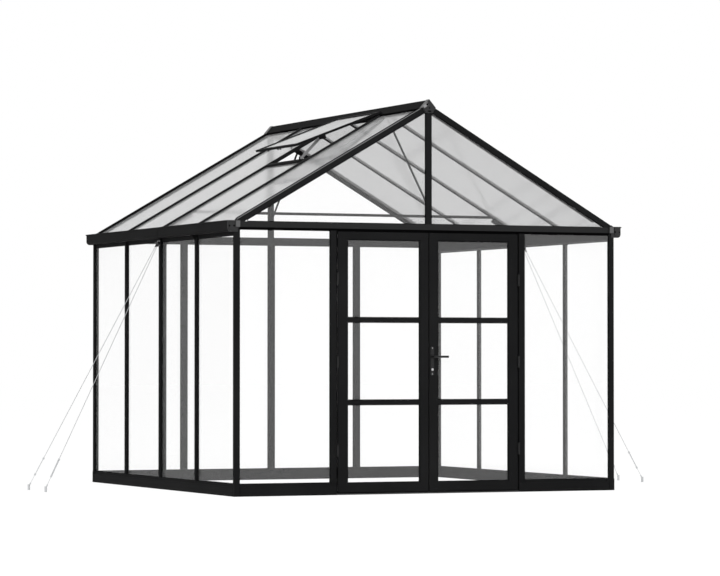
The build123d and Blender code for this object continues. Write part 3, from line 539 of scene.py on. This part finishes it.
def add_strip(build, start, end, across, section):
    """Sweep a closed section straight from start to end."""
    start, end = Vector(start), Vector(end)
    along = (end - start).normalized()
    across = (Vector(across) - along * along.dot(Vector(across))).normalized()
    rise = along.cross(across)
    bridged(build, [[place + across * u + rise * v for u, v in section] for place in (start, end)])


def strips(name, runs, material, body="greenhouse"):
    """One piece of straight strips, each a start, an end, the way across and a section."""
    build = bmesh.new()
    for run in runs:
        add_strip(build, *run)
    mesh = closed_mesh(name, build)
    mesh.materials.append(material)
    finished(name, mesh, body)


# Geometry node trees
def new_tree(name, inputs):
    """Geometry tree with a mesh input, named inputs and a material."""
    tree = bpy.data.node_groups.new(name, "GeometryNodeTree")
    tree.interface.new_socket("Paths", in_out="INPUT", socket_type="NodeSocketGeometry")
    for label, kind in (*inputs, ("Material", "NodeSocketMaterial")):
        tree.interface.new_socket(label, in_out="INPUT", socket_type=kind)
    tree.interface.new_socket("Piece", in_out="OUTPUT", socket_type="NodeSocketGeometry")
    return tree, tree.nodes.new("NodeGroupInput"), tree.nodes.new("NodeGroupOutput")


def end_tree(tree, entry, leave, geometry, smooth=True):
    """Realize the instances, set shading and material, and leave the tree."""
    whole = tree.nodes.new("GeometryNodeRealizeInstances")
    shade = tree.nodes.new("GeometryNodeSetShadeSmooth")
    shade.inputs["Shade Smooth"].default_value = smooth
    dress = tree.nodes.new("GeometryNodeSetMaterial")
    tree.links.new(geometry, whole.inputs["Geometry"])
    tree.links.new(whole.outputs["Geometry"], shade.inputs["Geometry"])
    tree.links.new(shade.outputs["Geometry"], dress.inputs["Geometry"])
    tree.links.new(entry.outputs["Material"], dress.inputs["Material"])
    tree.links.new(dress.outputs["Geometry"], leave.inputs["Piece"])


def swept_circle(nodes, links, curve, radius, facets):
    """Round bar along a curve, closed at its ends."""
    circle = nodes.new("GeometryNodeCurvePrimitiveCircle")
    circle.inputs["Resolution"].default_value = facets
    swept = nodes.new("GeometryNodeCurveToMesh")
    swept.inputs["Fill Caps"].default_value = True
    links.new(radius, circle.inputs["Radius"])
    links.new(curve, swept.inputs["Curve"])
    links.new(circle.outputs["Curve"], swept.inputs["Profile Curve"])
    return swept.outputs["Mesh"]


def gasket_tree():
    """Round rubber bead along each path, with soft corners."""
    tree, entry, leave = new_tree(
        "rubber_gasket", [("Bead Radius", "NodeSocketFloat"), ("Corner Radius", "NodeSocketFloat")]
    )
    nodes, links = tree.nodes, tree.links
    path = nodes.new("GeometryNodeMeshToCurve")
    soft = nodes.new("GeometryNodeFilletCurve")
    soft.mode = "POLY"
    soft.inputs["Count"].default_value = gasket_corner_points
    soft.inputs["Limit Radius"].default_value = True
    links.new(entry.outputs["Paths"], path.inputs["Mesh"])
    links.new(path.outputs["Curve"], soft.inputs["Curve"])
    links.new(entry.outputs["Corner Radius"], soft.inputs["Radius"])
    bead = swept_circle(nodes, links, soft.outputs["Curve"], entry.outputs["Bead Radius"], gasket_sides)
    end_tree(tree, entry, leave, bead)
    return tree


def screw_tree():
    """Screw head on each point, turned to the point's facing and scaled to its size."""
    tree, entry, leave = new_tree("screw_heads", [("Head", "NodeSocketObject")])
    nodes, links = tree.nodes, tree.links
    facing = nodes.new("GeometryNodeInputNamedAttribute")
    facing.data_type = "FLOAT_VECTOR"
    facing.inputs["Name"].default_value = "facing"
    size = nodes.new("GeometryNodeInputNamedAttribute")
    size.data_type = "FLOAT"
    size.inputs["Name"].default_value = "size"
    turn = nodes.new("FunctionNodeAlignRotationToVector")
    turn.axis = "Z"
    head = nodes.new("GeometryNodeObjectInfo")
    placed = nodes.new("GeometryNodeInstanceOnPoints")
    links.new(facing.outputs["Attribute"], turn.inputs["Vector"])
    links.new(entry.outputs["Head"], head.inputs["Object"])
    links.new(entry.outputs["Paths"], placed.inputs["Points"])
    links.new(head.outputs["Geometry"], placed.inputs["Instance"])
    links.new(turn.outputs["Rotation"], placed.inputs["Rotation"])
    links.new(size.outputs["Attribute"], placed.inputs["Scale"])
    end_tree(tree, entry, leave, placed.outputs["Instances"], smooth=False)
    return tree


def strand_tree():
    """Wires laid in a spiral round each path."""
    tree, entry, leave = new_tree(
        "laid_strands",
        [
            ("Strands", "NodeSocketInt"),
            ("Wire Radius", "NodeSocketFloat"),
            ("Ring Radius", "NodeSocketFloat"),
            ("Lay Length", "NodeSocketFloat"),
            ("Step", "NodeSocketFloat"),
        ],
    )
    nodes, links = tree.nodes, tree.links

    def figured(operation, first, second=None):
        """Result of an operation on one or two values, each a socket or a number."""
        node = nodes.new("ShaderNodeMath")
        node.operation = operation
        for place, value in enumerate((first, second)):
            if isinstance(value, float):
                node.inputs[place].default_value = value
            elif value is not None:
                links.new(value, node.inputs[place])
        return node.outputs["Value"]

    def arrow(operation, first, second=None, scale=None):
        """Result of an operation on two directions, or on a direction and a scale."""
        node = nodes.new("ShaderNodeVectorMath")
        node.operation = operation
        links.new(first, node.inputs[0])
        if second is not None:
            links.new(second, node.inputs[1])
        if scale is not None:
            links.new(scale, node.inputs["Scale"])
        return node.outputs["Vector"]

    path = nodes.new("GeometryNodeMeshToCurve")
    fine = nodes.new("GeometryNodeResampleCurve")
    fine.mode = "LENGTH"
    copies = nodes.new("GeometryNodeDuplicateElements")
    copies.domain = "SPLINE"
    along = nodes.new("GeometryNodeSplineParameter")
    normal = nodes.new("GeometryNodeInputNormal")
    tangent = nodes.new("GeometryNodeInputTangent")
    moved = nodes.new("GeometryNodeSetPosition")
    links.new(entry.outputs["Paths"], path.inputs["Mesh"])
    links.new(path.outputs["Curve"], fine.inputs["Curve"])
    links.new(entry.outputs["Step"], fine.inputs["Length"])
    links.new(fine.outputs["Curve"], copies.inputs["Geometry"])
    links.new(entry.outputs["Strands"], copies.inputs["Amount"])
    share = figured("DIVIDE", copies.outputs["Duplicate Index"], entry.outputs["Strands"])
    laid = figured("DIVIDE", along.outputs["Length"], entry.outputs["Lay Length"])
    angle = figured("MULTIPLY", figured("ADD", share, laid), math.tau)
    level = figured("MULTIPLY", figured("COSINE", angle), entry.outputs["Ring Radius"])
    rise = figured("MULTIPLY", figured("SINE", angle), entry.outputs["Ring Radius"])
    binormal = arrow("CROSS_PRODUCT", tangent.outputs["Tangent"], normal.outputs["Normal"])
    out = arrow("SCALE", normal.outputs["Normal"], scale=level)
    up = arrow("SCALE", binormal, scale=rise)
    links.new(copies.outputs["Geometry"], moved.inputs["Geometry"])
    links.new(arrow("ADD", out, up), moved.inputs["Offset"])
    wire = swept_circle(nodes, links, moved.outputs["Geometry"], entry.outputs["Wire Radius"], strand_sides)
    end_tree(tree, entry, leave, wire)
    return tree


def grown(name, mesh, tree, values, body):
    """Run a tree over a mesh of paths or points and keep the result as a plain piece."""
    seed = bpy.data.objects.new(name + "_paths", mesh)
    bpy.context.collection.objects.link(seed)
    modifier = seed.modifiers.new("tree", "NODES")
    modifier.node_group = tree
    for item in tree.interface.items_tree:
        if item.in_out == "INPUT" and item.name in values:
            modifier[item.identifier] = values[item.name]
    graph = bpy.context.evaluated_depsgraph_get()
    result = bpy.data.meshes.new_from_object(seed.evaluated_get(graph))
    result.name = name
    result.materials.clear()
    result.materials.append(values["Material"])
    result.polygons.foreach_set("material_index", [0] * len(result.polygons))
    bpy.data.objects.remove(seed)
    finished(name, result, body)


def path_mesh(name, paths):
    """Wire mesh of closed loops and open lines: (points, closed)."""
    points, edges = [], []
    for path, closed in paths:
        first = len(points)
        points += [tuple(point) for point in path]
        edges += [(first + place, first + place + 1) for place in range(len(path) - 1)]
        if closed:
            edges.append((len(points) - 1, first))
    mesh = bpy.data.meshes.new(name)
    mesh.from_pydata(points, edges, [])
    return mesh


def screw_head():
    """Unit pan head with a six-sided socket, seen by the screw tree only."""
    turns = [math.tau * step / head_facets for step in range(head_facets)]
    flat_share = math.cos(math.pi / 6)
    hexagon = [socket_share * (flat_share if step % 2 else 1.0) for step in range(head_facets)]
    disc = [1.0] * head_facets
    rings = [
        [
            (radius * share * math.cos(turn), radius * share * math.sin(turn), height)
            for share, turn in zip(outline, turns)
        ]
        for outline, shares in ((disc, head_ring_shares), (hexagon, socket_ring_shares))
        for radius, height in shares
    ]
    build = bmesh.new()
    bridged(build, rings)
    return bpy.data.objects.new("screw_head", closed_mesh("screw_head", build))


rubber_gasket = gasket_tree()
screw_heads = screw_tree()
laid_strands = strand_tree()
head_form = screw_head()


def screws(name, heads, material, body="greenhouse"):
    """Screw heads at places, each a place, a facing and a head radius."""
    mesh = bpy.data.meshes.new(name + "_points")
    mesh.from_pydata([tuple(place) for place, facing, radius in heads], [], [])
    mesh.attributes.new("facing", "FLOAT_VECTOR", "POINT")
    mesh.attributes.new("size", "FLOAT", "POINT")
    facings = [part for place, facing, radius in heads for part in facing]
    mesh.attributes["facing"].data.foreach_set("vector", facings)
    mesh.attributes["size"].data.foreach_set("value", [radius for place, facing, radius in heads])
    grown(name, mesh, screw_heads, {"Head": head_form, "Material": material}, body)


def gaskets(name, paths, body="greenhouse"):
    """Rubber beads along paths."""
    values = {"Bead Radius": gasket_radius, "Corner Radius": gasket_corner, "Material": black_rubber}
    grown(name, path_mesh(name + "_lines", paths), rubber_gasket, values, body)


# Gaskets round the panes
def upright_loop(plane, axis, across, heights):
    """Loop just inside a pane's opening, on a plane of constant x or y."""
    low, high = across[0] + gasket_radius, across[1] - gasket_radius
    bottom, top = heights[0] + gasket_radius, heights[1] - gasket_radius
    corners = [(low, bottom), (high, bottom), (high, top), (low, top)]
    if axis == "x":
        return [(plane, level, height) for level, height in corners], True
    return [(level, plane, height) for level, height in corners], True


def both_faces(faces):
    """Planes just off the inner and the outer face of a pane."""
    return faces[0] - gasket_stand, faces[1] + gasket_stand


def wall_gasket_paths():
    """Loops round the panes of the four walls, inside and outside."""
    bays = gaps_between(post_inner_y, bar_lines, bar_half)
    front_gaps = [(-post_inner_x, -jamb_outer_x), (jamb_outer_x, post_inner_x)]
    back_gaps = gaps_between(post_inner_x, stud_lines, stud_half)
    paths = []
    for side in sides:
        for plane in both_faces(side_glass_xs):
            for bay in bays:
                paths.append(upright_loop(side * plane, "x", bay, (ledge_top, rail_bottom)))
    for end, gaps in zip(ends, (front_gaps, back_gaps)):
        for plane in both_faces(end_glass_ys):
            for gap in gaps:
                paths.append(upright_loop(end * plane, "y", gap, (ledge_top, header_bottom)))
    return paths


def gable_gasket_paths():
    """Loops round the gable panes, inside and outside."""
    depth = gable_rafter_depth + gasket_radius
    foot = header_top + gasket_radius
    near = king_half + gasket_radius
    far = (roof_z(0.0, depth) - foot) / math.tan(roof_pitch)
    corners = [(near, foot), (far, foot), (near, roof_z(near, depth))]
    return [
        ([(side * x, end * plane, z) for x, z in corners], True)
        for end in ends
        for plane in both_faces(end_glass_ys)
        for side in sides
    ]


def door_gasket_paths(node):
    """Loops round the three panes of a leaf, inside and outside."""
    low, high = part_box(node)
    bottom, top = low[2] + glass_bite, high[2] - glass_bite
    height = (top - bottom - (leaf_pane_rows - 1) * muntin_width) / leaf_pane_rows
    across = (low[0] + glass_bite, high[0] - glass_bite)
    feet = [bottom + row * (height + muntin_width) for row in range(leaf_pane_rows)]
    return [
        upright_loop(plane, "y", across, (foot, foot + height))
        for plane in both_faces((low[1], high[1]))
        for foot in feet
    ]


gaskets("wall_gaskets", wall_gasket_paths())
gaskets("gable_gaskets", gable_gasket_paths())
gaskets("left_door_gaskets", door_gasket_paths("left_door_glass"), "left_door")
gaskets("right_door_gaskets", door_gasket_paths("right_door_glass"), "right_door")


# Seals and trims, and strips of painted shade and painted highlight
def header_shade_strip_runs():
    """Black rubber strip on the set-back lip under each header: painted shade for the shadow under the
    header's brow.
    """
    y = half_length - header_lip_setback + header_shade_strip_thickness / 2
    z = header_bottom + header_shade_strip_height / 2 + edge_chamfer / 2
    section = chamfered(header_shade_strip_thickness, header_shade_strip_height)
    return [((-post_inner_x, end * y, z), (post_inner_x, end * y, z), across_y, section) for end in ends]


def ridge_seal_runs():
    """Foam strips between the panels and the ridge's wings, in every bay but the vent's."""
    upper, lower = ridge_seal_depths
    x = ridge_wing_x - ridge_seal_width / 2
    z = roof_z(x, (upper + lower) / 2)
    section = chamfered(ridge_seal_width, lower - upper)
    runs = []
    for side in sides:
        down = (side * math.cos(roof_pitch), 0, -math.sin(roof_pitch))
        for bay, (low, high) in enumerate(gaps_between(panel_inner_y, bar_lines, bar_half)):
            if (side, bay) != vent_bay:
                runs.append(((side * x, low, z), (side * x, high, z), down, section))
    return runs


def gable_runs(xs, y, depth, section, gables=ends):
    """Strips down both slopes of the gables, at a depth below the rafters' top faces."""
    return [
        (*[(side * x, end * y, roof_z(x, depth)) for x in xs], across_y, section)
        for side in sides
        for end in gables
    ]


def ledge_highlight_runs():
    """Pale grey satin strips on the top ledges of the gable rafters: a painted highlight for the light band
    along the ledges.
    """
    low, high = gable_rafter_y + ledge_inset + trim_margin, half_length - trim_margin
    section = chamfered(high - low, trim_thickness, trim_thickness / 3)
    xs = (ridge_wing_x + ridge_gap, gutter_inner_x - trim_margin)
    return gable_runs(xs, (low + high) / 2, ledge_drop - trim_thickness / 2, section)


def edge_seal_runs():
    """Rubber strips on the raised inner edges of the gable rafters, beside the panels."""
    section = chamfered(edge_seal_width, edge_seal_height, edge_seal_chamfer)
    xs = (ridge_wing_x + ridge_gap, half_width - edge_seal_foot_gap)
    return gable_runs(xs, gable_rafter_y + edge_seal_inset, -edge_seal_rise, section)


def gable_liner_runs():
    """Liners that fill the step behind the front gable's glass, under its rafters."""
    upper, lower = liner_depths
    section = chamfered(liner_width, lower - upper)
    xs = (ridge_wing_x + liner_head_gap, half_width - liner_foot_gap)
    y = gable_rafter_y - liner_inward + liner_width / 2
    return gable_runs(xs, y, (upper + lower) / 2, section, gables=(front,))


def lap_cover_runs():
    """Satin plates on the blocks where the gutter caps lap the headers."""
    block_x = gutter_inner_x + lap_block_reach
    low_x, high_x = block_x - lap_block_width + trim_margin, block_x - trim_margin
    low_z, high_z = eave_top - lap_block_height + 2 * trim_margin, eave_top - trim_margin
    section = chamfered(high_x - low_x, trim_thickness, trim_thickness / 3)
    x, y = (low_x + high_x) / 2, cap_face_y + trim_thickness / 2
    return [
        (*[(side * x, end * y, z) for z in (low_z, high_z)], across_x, section)
        for side in sides
        for end in ends
    ]


def ridge_clip_runs():
    """Satin clip on each ridge cap, along the slope that carries its upper screw."""
    section = chamfered(clip_width, clip_thickness, clip_thickness / 3)
    y = ridge_cap_y + clip_thickness / 2
    runs = []
    for end in ends:
        low, high = [Vector((end * x, end * y, ridge_cap_top - drop)) for x, drop in (clip_low, clip_high)]
        inward = (high - low).cross(Vector((0, end, 0)))
        runs.append((low, high, inward, section))
    return runs


def stop_seal_runs():
    """Rubber on the door stops, behind the gap between each jamb and its leaf."""
    x = -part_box("left_door_frame")[0][0] + stop_seal_width / 2 - stop_seal_lap
    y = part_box("door_stops")[0][1] - stop_seal_thickness / 2 + edge_chamfer / 2
    section = chamfered(stop_seal_width, stop_seal_thickness)
    heights = (ledge_top + trim_margin, header_bottom)
    return [(*[(side * x, y, z) for z in heights], across_x, section) for side in sides]


def corner_shade_line_runs():
    """Black lines where the corner posts lap the base ring: painted shade along the edges of the lap."""
    section = chamfered(corner_shade_width, 2 * corner_shade_stand, corner_shade_stand / 2)
    runs = []
    for side in sides:
        for end in ends:
            face = (side * (post_inner_x - corner_shade_width / 2), end * half_length)
            flank = (side * half_width, end * (post_inner_y - corner_shade_width / 2))
            for (x, y), across in ((face, across_x), (flank, across_y)):
                runs.append(((x, y, trim_margin), (x, y, base_face_top), across, section))
    return runs


def cap_plug_runs():
    """Rubber plugs in the slots at the feet of the ridge caps."""
    width, height = cap_plug_size
    section = chamfered(width, cap_plug_depth)
    y = ridge_cap_y - cap_plug_depth / 2 + edge_chamfer / 2
    middle = ridge_cap_top - cap_plug_drop
    heights = (middle - height / 2, middle + height / 2)
    return [(*[(0, end * y, z) for z in heights], across_x, section) for end in ends]


def meeting_seal_runs():
    """Rubber blade with a bulb on the left leaf's meeting edge."""
    low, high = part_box("left_door_frame")
    bulb = meeting_seal_depth / 2
    neck = meeting_seal_reach - bulb
    section = [
        (0.0, -bulb), (neck, -bulb), (meeting_seal_reach, 0.0),
        (neck, bulb), (0.0, bulb), (-edge_chamfer, 0.0),
    ]
    y = (low[1] + high[1]) / 2
    heights = (low[2] + trim_margin, high[2] - trim_margin)
    return [(*[(high[0], y, z) for z in heights], across_x, section)]


strips("header_seals", header_shade_strip_runs(), black_rubber)
strips("ridge_seals", ridge_seal_runs(), black_rubber)
strips("gable_ledge_trims", ledge_highlight_runs(), satin_and_ledge_highlight)
strips("gable_edge_seals", edge_seal_runs(), black_rubber)
strips("gutter_lap_covers", lap_cover_runs(), satin_and_ledge_highlight)
strips("ridge_cap_clips", ridge_clip_runs(), clip_satin)
strips("door_stop_seals", stop_seal_runs(), black_rubber)
strips("corner_joints", corner_shade_line_runs(), black_rubber)
strips("ridge_cap_plugs", cap_plug_runs(), black_rubber)
strips("gable_liners", gable_liner_runs(), black_frame)
strips("meeting_seal", meeting_seal_runs(), black_rubber, "left_door")


# Screws and the lock's keyway
def cap_screws():
    """Screws sunk in the gutter caps and in the ridge caps, and one on each ridge clip."""
    shield_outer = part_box("gutter_end_caps")[1][0] - cap_rim
    sunk_y, clip_y = ridge_cap_y - cap_screw_sink, ridge_cap_y + clip_thickness
    clip_x, clip_drop = clip_screw
    heads = []
    for end in ends:
        facing = (0, end, 0)
        for side in sides:
            for inset in cap_screw_insets:
                x, y = side * (shield_outer - inset), end * (cap_face_y - cap_screw_sink)
                heads.append(((x, y, eave_top - cap_screw_drop), facing, cap_screw_radius))
        heads.append(((0, end * sunk_y, ridge_cap_top - ridge_screw_drop), facing, ridge_screw_radius))
        heads.append(((end * clip_x, end * clip_y, ridge_cap_top - clip_drop), facing, clip_screw_radius))
    return heads


def bracket_screws():
    """Four screws in each cable bracket."""
    low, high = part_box("cable_brackets")
    x = bar_outer_x + bracket_thickness
    ys = (low[1] + bracket_screw_inset, high[1] - bracket_screw_inset)
    zs = (high[2] - bracket_screw_inset, high[2] - bracket_height + bracket_screw_inset)
    return [((side * x, y, z), (side, 0, 0), bracket_screw_radius) for side in sides for y in ys for z in zs]


def foot_bolts():
    """Bolts through the feet of the back studs and the base below them, seen from inside."""
    stud_y, base_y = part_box("back_wall_studs")[0][1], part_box("base_back")[0][1]
    base_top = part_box("base_back")[1][2]
    places = ((stud_y, ledge_top + stud_bolt_rise), (base_y, base_top - base_bolt_drop))
    return [((x, y, z), (0, -1, 0), bolt_radius) for x in stud_lines for y, z in places]


def plate_screws_and_glints():
    """Screws at the top and the foot of both handle plates; in bright steel their glints also paint the
    highlights of the plates' rounded ends.
    """
    low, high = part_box("handle_plates")
    x = (low[0] + high[0]) / 2
    faces = ((low[1], -1), (high[1], 1))
    heights = (low[2] + plate_screw_inset, high[2] - plate_screw_inset)
    return [((x, y, z), (0, facing, 0), plate_screw_radius) for y, facing in faces for z in heights]


lock_low, lock_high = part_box("lock_cylinder")
lock_x, lock_z = (lock_low[0] + lock_high[0]) / 2, (lock_low[2] + lock_high[2]) / 2
lock_ys = (lock_low[1], lock_high[1])


def lock_plug_runs():
    """Two half plugs on both ends of the lock cylinder, with room for the key between them."""
    reach = math.pi / 2 - math.asin(key_slot_half / plug_radius)
    turns = [reach * (2 * step / plug_facets - 1) for step in range(plug_facets + 1)]
    half_discs = [
        [(hand * plug_radius * math.cos(turn), plug_radius * math.sin(turn)) for turn in turns]
        for hand in sides
    ]
    return [
        ((lock_x, y - plug_proud, lock_z), (lock_x, y + plug_proud, lock_z), across_x, half_disc)
        for y in lock_ys
        for half_disc in half_discs
    ]


def keyway_runs():
    """Black strip at the bottom of the key's slot, on both ends of the lock cylinder: painted shade for the
    depth of the keyway.
    """
    section = chamfered(2 * key_slot_half, plug_proud, plug_proud / 4)
    reach = plug_radius * key_slot_share
    return [((lock_x, y, lock_z - reach), (lock_x, y, lock_z + reach), across_x, section) for y in lock_ys]


screws("cap_screws", cap_screws(), black_rubber)
screws("bracket_screws", bracket_screws(), galvanised)
screws("stud_foot_bolts", foot_bolts(), satin_and_ledge_highlight)
# Bright steel screws: real screws whose glints are also a painted highlight for the plates' rounded ends
screws("handle_plate_screws", plate_screws_and_glints(), bright_steel, "right_door")
strips("lock_plugs", lock_plug_runs(), bright_steel, "right_door")
# Black strip in the key's slot: painted shade for the keyway's depth
strips("lock_keyway", keyway_runs(), black_rubber, "right_door")


# Stay wires
def stay_wire_paths():
    """Lines of the stay wires, between the brackets and the turnbuckles."""
    lug_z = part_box("cable_brackets")[1][2] - lug_drop
    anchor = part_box("ground_anchors")[1]
    paths = []
    for side in sides:
        for end in ends:
            upper = Vector((side * (bar_outer_x + lug_reach), end * lug_spread, lug_z))
            lower = Vector((side * (anchor[0] - eye_inset), end * (anchor[1] - eye_inset), eye_height))
            way = (lower - upper).normalized()
            paths.append(([upper + way * lug_clearance, lower - way * turnbuckle_reach], False))
    return paths


wire_values = {
    "Strands": strand_count,
    "Wire Radius": strand_radius,
    "Ring Radius": strand_ring,
    "Lay Length": strand_lay,
    "Step": strand_step,
    "Material": galvanised,
}
wire_lines = path_mesh("stay_wire_lines", stay_wire_paths())
grown("stay_wire_strands", wire_lines, laid_strands, wire_values, "greenhouse")


# Vent fittings
def stay_channel_runs():
    """Channel on the vent's stay."""
    low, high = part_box("vent_stay")
    y = (low[1] + high[1]) / 2
    foot = Vector((low[0] + stay_end_round, y, low[2] + stay_end_round))
    head = Vector((high[0] - stay_end_round, y, high[2] - stay_end_round))
    section = chamfered(stay_channel_depth, stay_channel_width, stay_channel_chamfer)
    return [(*[foot.lerp(head, share) for share in stay_channel_shares], across_y, section)]


def vent_rail():
    """Lowest edge of the vent's lower rail, the way in under the rail and the way its underside faces."""
    places = [vert.co for vert in frame["nodes"]["vent_frame"].data.vertices]
    outer = min(places, key=lambda place: place.z)
    inside = [place for place in places if place.x > outer.x + rail_search_gap]
    inner = min(inside, key=lambda place: place.z)
    inward = Vector((inner.x - outer.x, 0, inner.z - outer.z)).normalized()
    return outer.copy(), inward, Vector((inward.z, 0, -inward.x))


rail_edge, rail_inward, rail_facing = vent_rail()


def under_rail(share, inset):
    """Place under the rail, a share of the way from its far end to its near end."""
    low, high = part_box("vent_frame")
    place = rail_edge + rail_inward * inset
    return Vector((place.x, high[1] + (low[1] - high[1]) * share, place.z))


def buffer_runs():
    """Rubber buffers under the outer edge of the vent's lower rail."""
    width, height, length = buffer_size
    section = chamfered(width, height, buffer_chamfer)
    reach = Vector((0, length / 2, 0))
    runs = []
    for share in buffer_shares:
        seat = under_rail(share, width / 2 + edge_chamfer)
        place = seat + rail_facing * (height / 2 - edge_chamfer)
        runs.append((place - reach, place + reach, rail_inward, section))
    return runs


def catch_runs():
    """Catch plate that hangs from the vent's lower rail."""
    width, drop, thickness = catch_size
    place = under_rail(catch_share, buffer_size[0])
    section = chamfered(width, thickness)
    return [(place - rail_facing * edge_chamfer, place + rail_facing * drop, across_y, section)]


strips("vent_stay_channel", stay_channel_runs(), clip_satin)
strips("vent_buffers", buffer_runs(), black_rubber)
strips("vent_catch", catch_runs(), clip_satin)


# Floor, surroundings, lamps and camera
def bright_rays(nodes, links):
    """One for rays that should see the white studio: camera, gloss and see-through rays."""
    path = nodes.new("ShaderNodeLightPath")
    first = nodes.new("ShaderNodeMath")
    first.operation = "MAXIMUM"
    second = nodes.new("ShaderNodeMath")
    second.operation = "MAXIMUM"
    links.new(path.outputs["Is Camera Ray"], first.inputs[0])
    links.new(path.outputs["Is Glossy Ray"], first.inputs[1])
    links.new(first.outputs["Value"], second.inputs[0])
    links.new(path.outputs["Is Transmission Ray"], second.inputs[1])
    return second.outputs["Value"]


def white_surround():
    """World that is white to look at and lights at a plain level."""
    world = bpy.data.worlds.new("studio_surround")
    bpy.context.scene.world = world
    world.use_nodes = True
    nodes, links = world.node_tree.nodes, world.node_tree.links
    seen = nodes["Background"]
    light = nodes.new("ShaderNodeBackground")
    for background, level in ((seen, 1.0), (light, surround_level)):
        background.inputs["Color"].default_value = white
        background.inputs["Strength"].default_value = level
    rays = bright_rays(nodes, links)
    blend = mixed_shaders(nodes, links, rays, light.outputs["Background"], seen.outputs["Background"])
    links.new(blend, nodes["World Output"].inputs["Surface"])


def floor_material():
    """White to look at, with a faint contact shadow, and pale to the light."""
    material, nodes, links, shader = new_material("floor_white")
    shader.inputs["Base Color"].default_value = floor_grey
    shader.inputs["Roughness"].default_value = 0.9
    shader.inputs["Specular IOR Level"].default_value = 0.0
    glow = nodes.new("ShaderNodeEmission")
    glow.inputs["Strength"].default_value = floor_glow
    pale = nodes.new("ShaderNodeBsdfDiffuse")
    pale.inputs["Color"].default_value = floor_seen_grey
    seen = nodes.new("ShaderNodeAddShader")
    links.new(glow.outputs["Emission"], seen.inputs[0])
    links.new(pale.outputs["BSDF"], seen.inputs[1])
    rays = bright_rays(nodes, links)
    blend = mixed_shaders(nodes, links, rays, shader.outputs["BSDF"], seen.outputs["Shader"])
    links.new(blend, nodes["Material Output"].inputs["Surface"])
    return material


def studio_floor():
    """Wide plain floor at ground level."""
    mesh = bpy.data.meshes.new("studio_floor")
    turns = ((-1, -1), (1, -1), (1, 1), (-1, 1))
    mesh.from_pydata([(x * floor_reach, y * floor_reach, 0.0) for x, y in turns], [], [(0, 1, 2, 3)])
    mesh.materials.append(floor_material())
    floor = bpy.data.objects.new("studio_floor", mesh)
    bpy.context.collection.objects.link(floor)


def soft_lamp(name, place, level, size):
    """Large square lamp aimed at the middle of the greenhouse."""
    lamp = bpy.data.lights.new(name, "AREA")
    lamp.size = size
    toward = Vector(lamp_aim) - Vector(place)
    lamp.energy = level * math.pi * toward.length ** 2
    lamp_object = bpy.data.objects.new(name, lamp)
    lamp_object.location = place
    lamp_object.rotation_euler = toward.to_track_quat("-Z", "Y").to_euler()
    lamp_object.visible_camera = False
    lamp_object.visible_glossy = False
    lamp_object.visible_transmission = False
    bpy.context.collection.objects.link(lamp_object)


def photo_camera():
    """Camera at the fitted place, square to the horizon."""
    camera = bpy.data.cameras.new("photo_camera")
    camera.lens = camera_lens
    camera.sensor_width = sensor_width
    camera.sensor_fit = "HORIZONTAL"
    camera.clip_end = camera_reach
    camera_object = bpy.data.objects.new("photo_camera", camera)
    camera_object.location = camera_place
    camera_object.rotation_euler = (math.radians(90.0 + camera_pitch), 0.0, math.radians(-camera_yaw))
    bpy.context.collection.objects.link(camera_object)
    bpy.context.scene.camera = camera_object


white_surround()
studio_floor()
soft_lamp("key_lamp", place=(-5.0, -17.0, 9.0), level=key_level, size=5.0)
soft_lamp("fill_lamp", place=(12.0, -9.0, 5.0), level=fill_level, size=7.0)
soft_lamp("side_lamp", place=(-13.0, -2.0, 4.0), level=side_level, size=6.0)
photo_camera()
bpy.context.scene.view_settings.view_transform = "Standard"
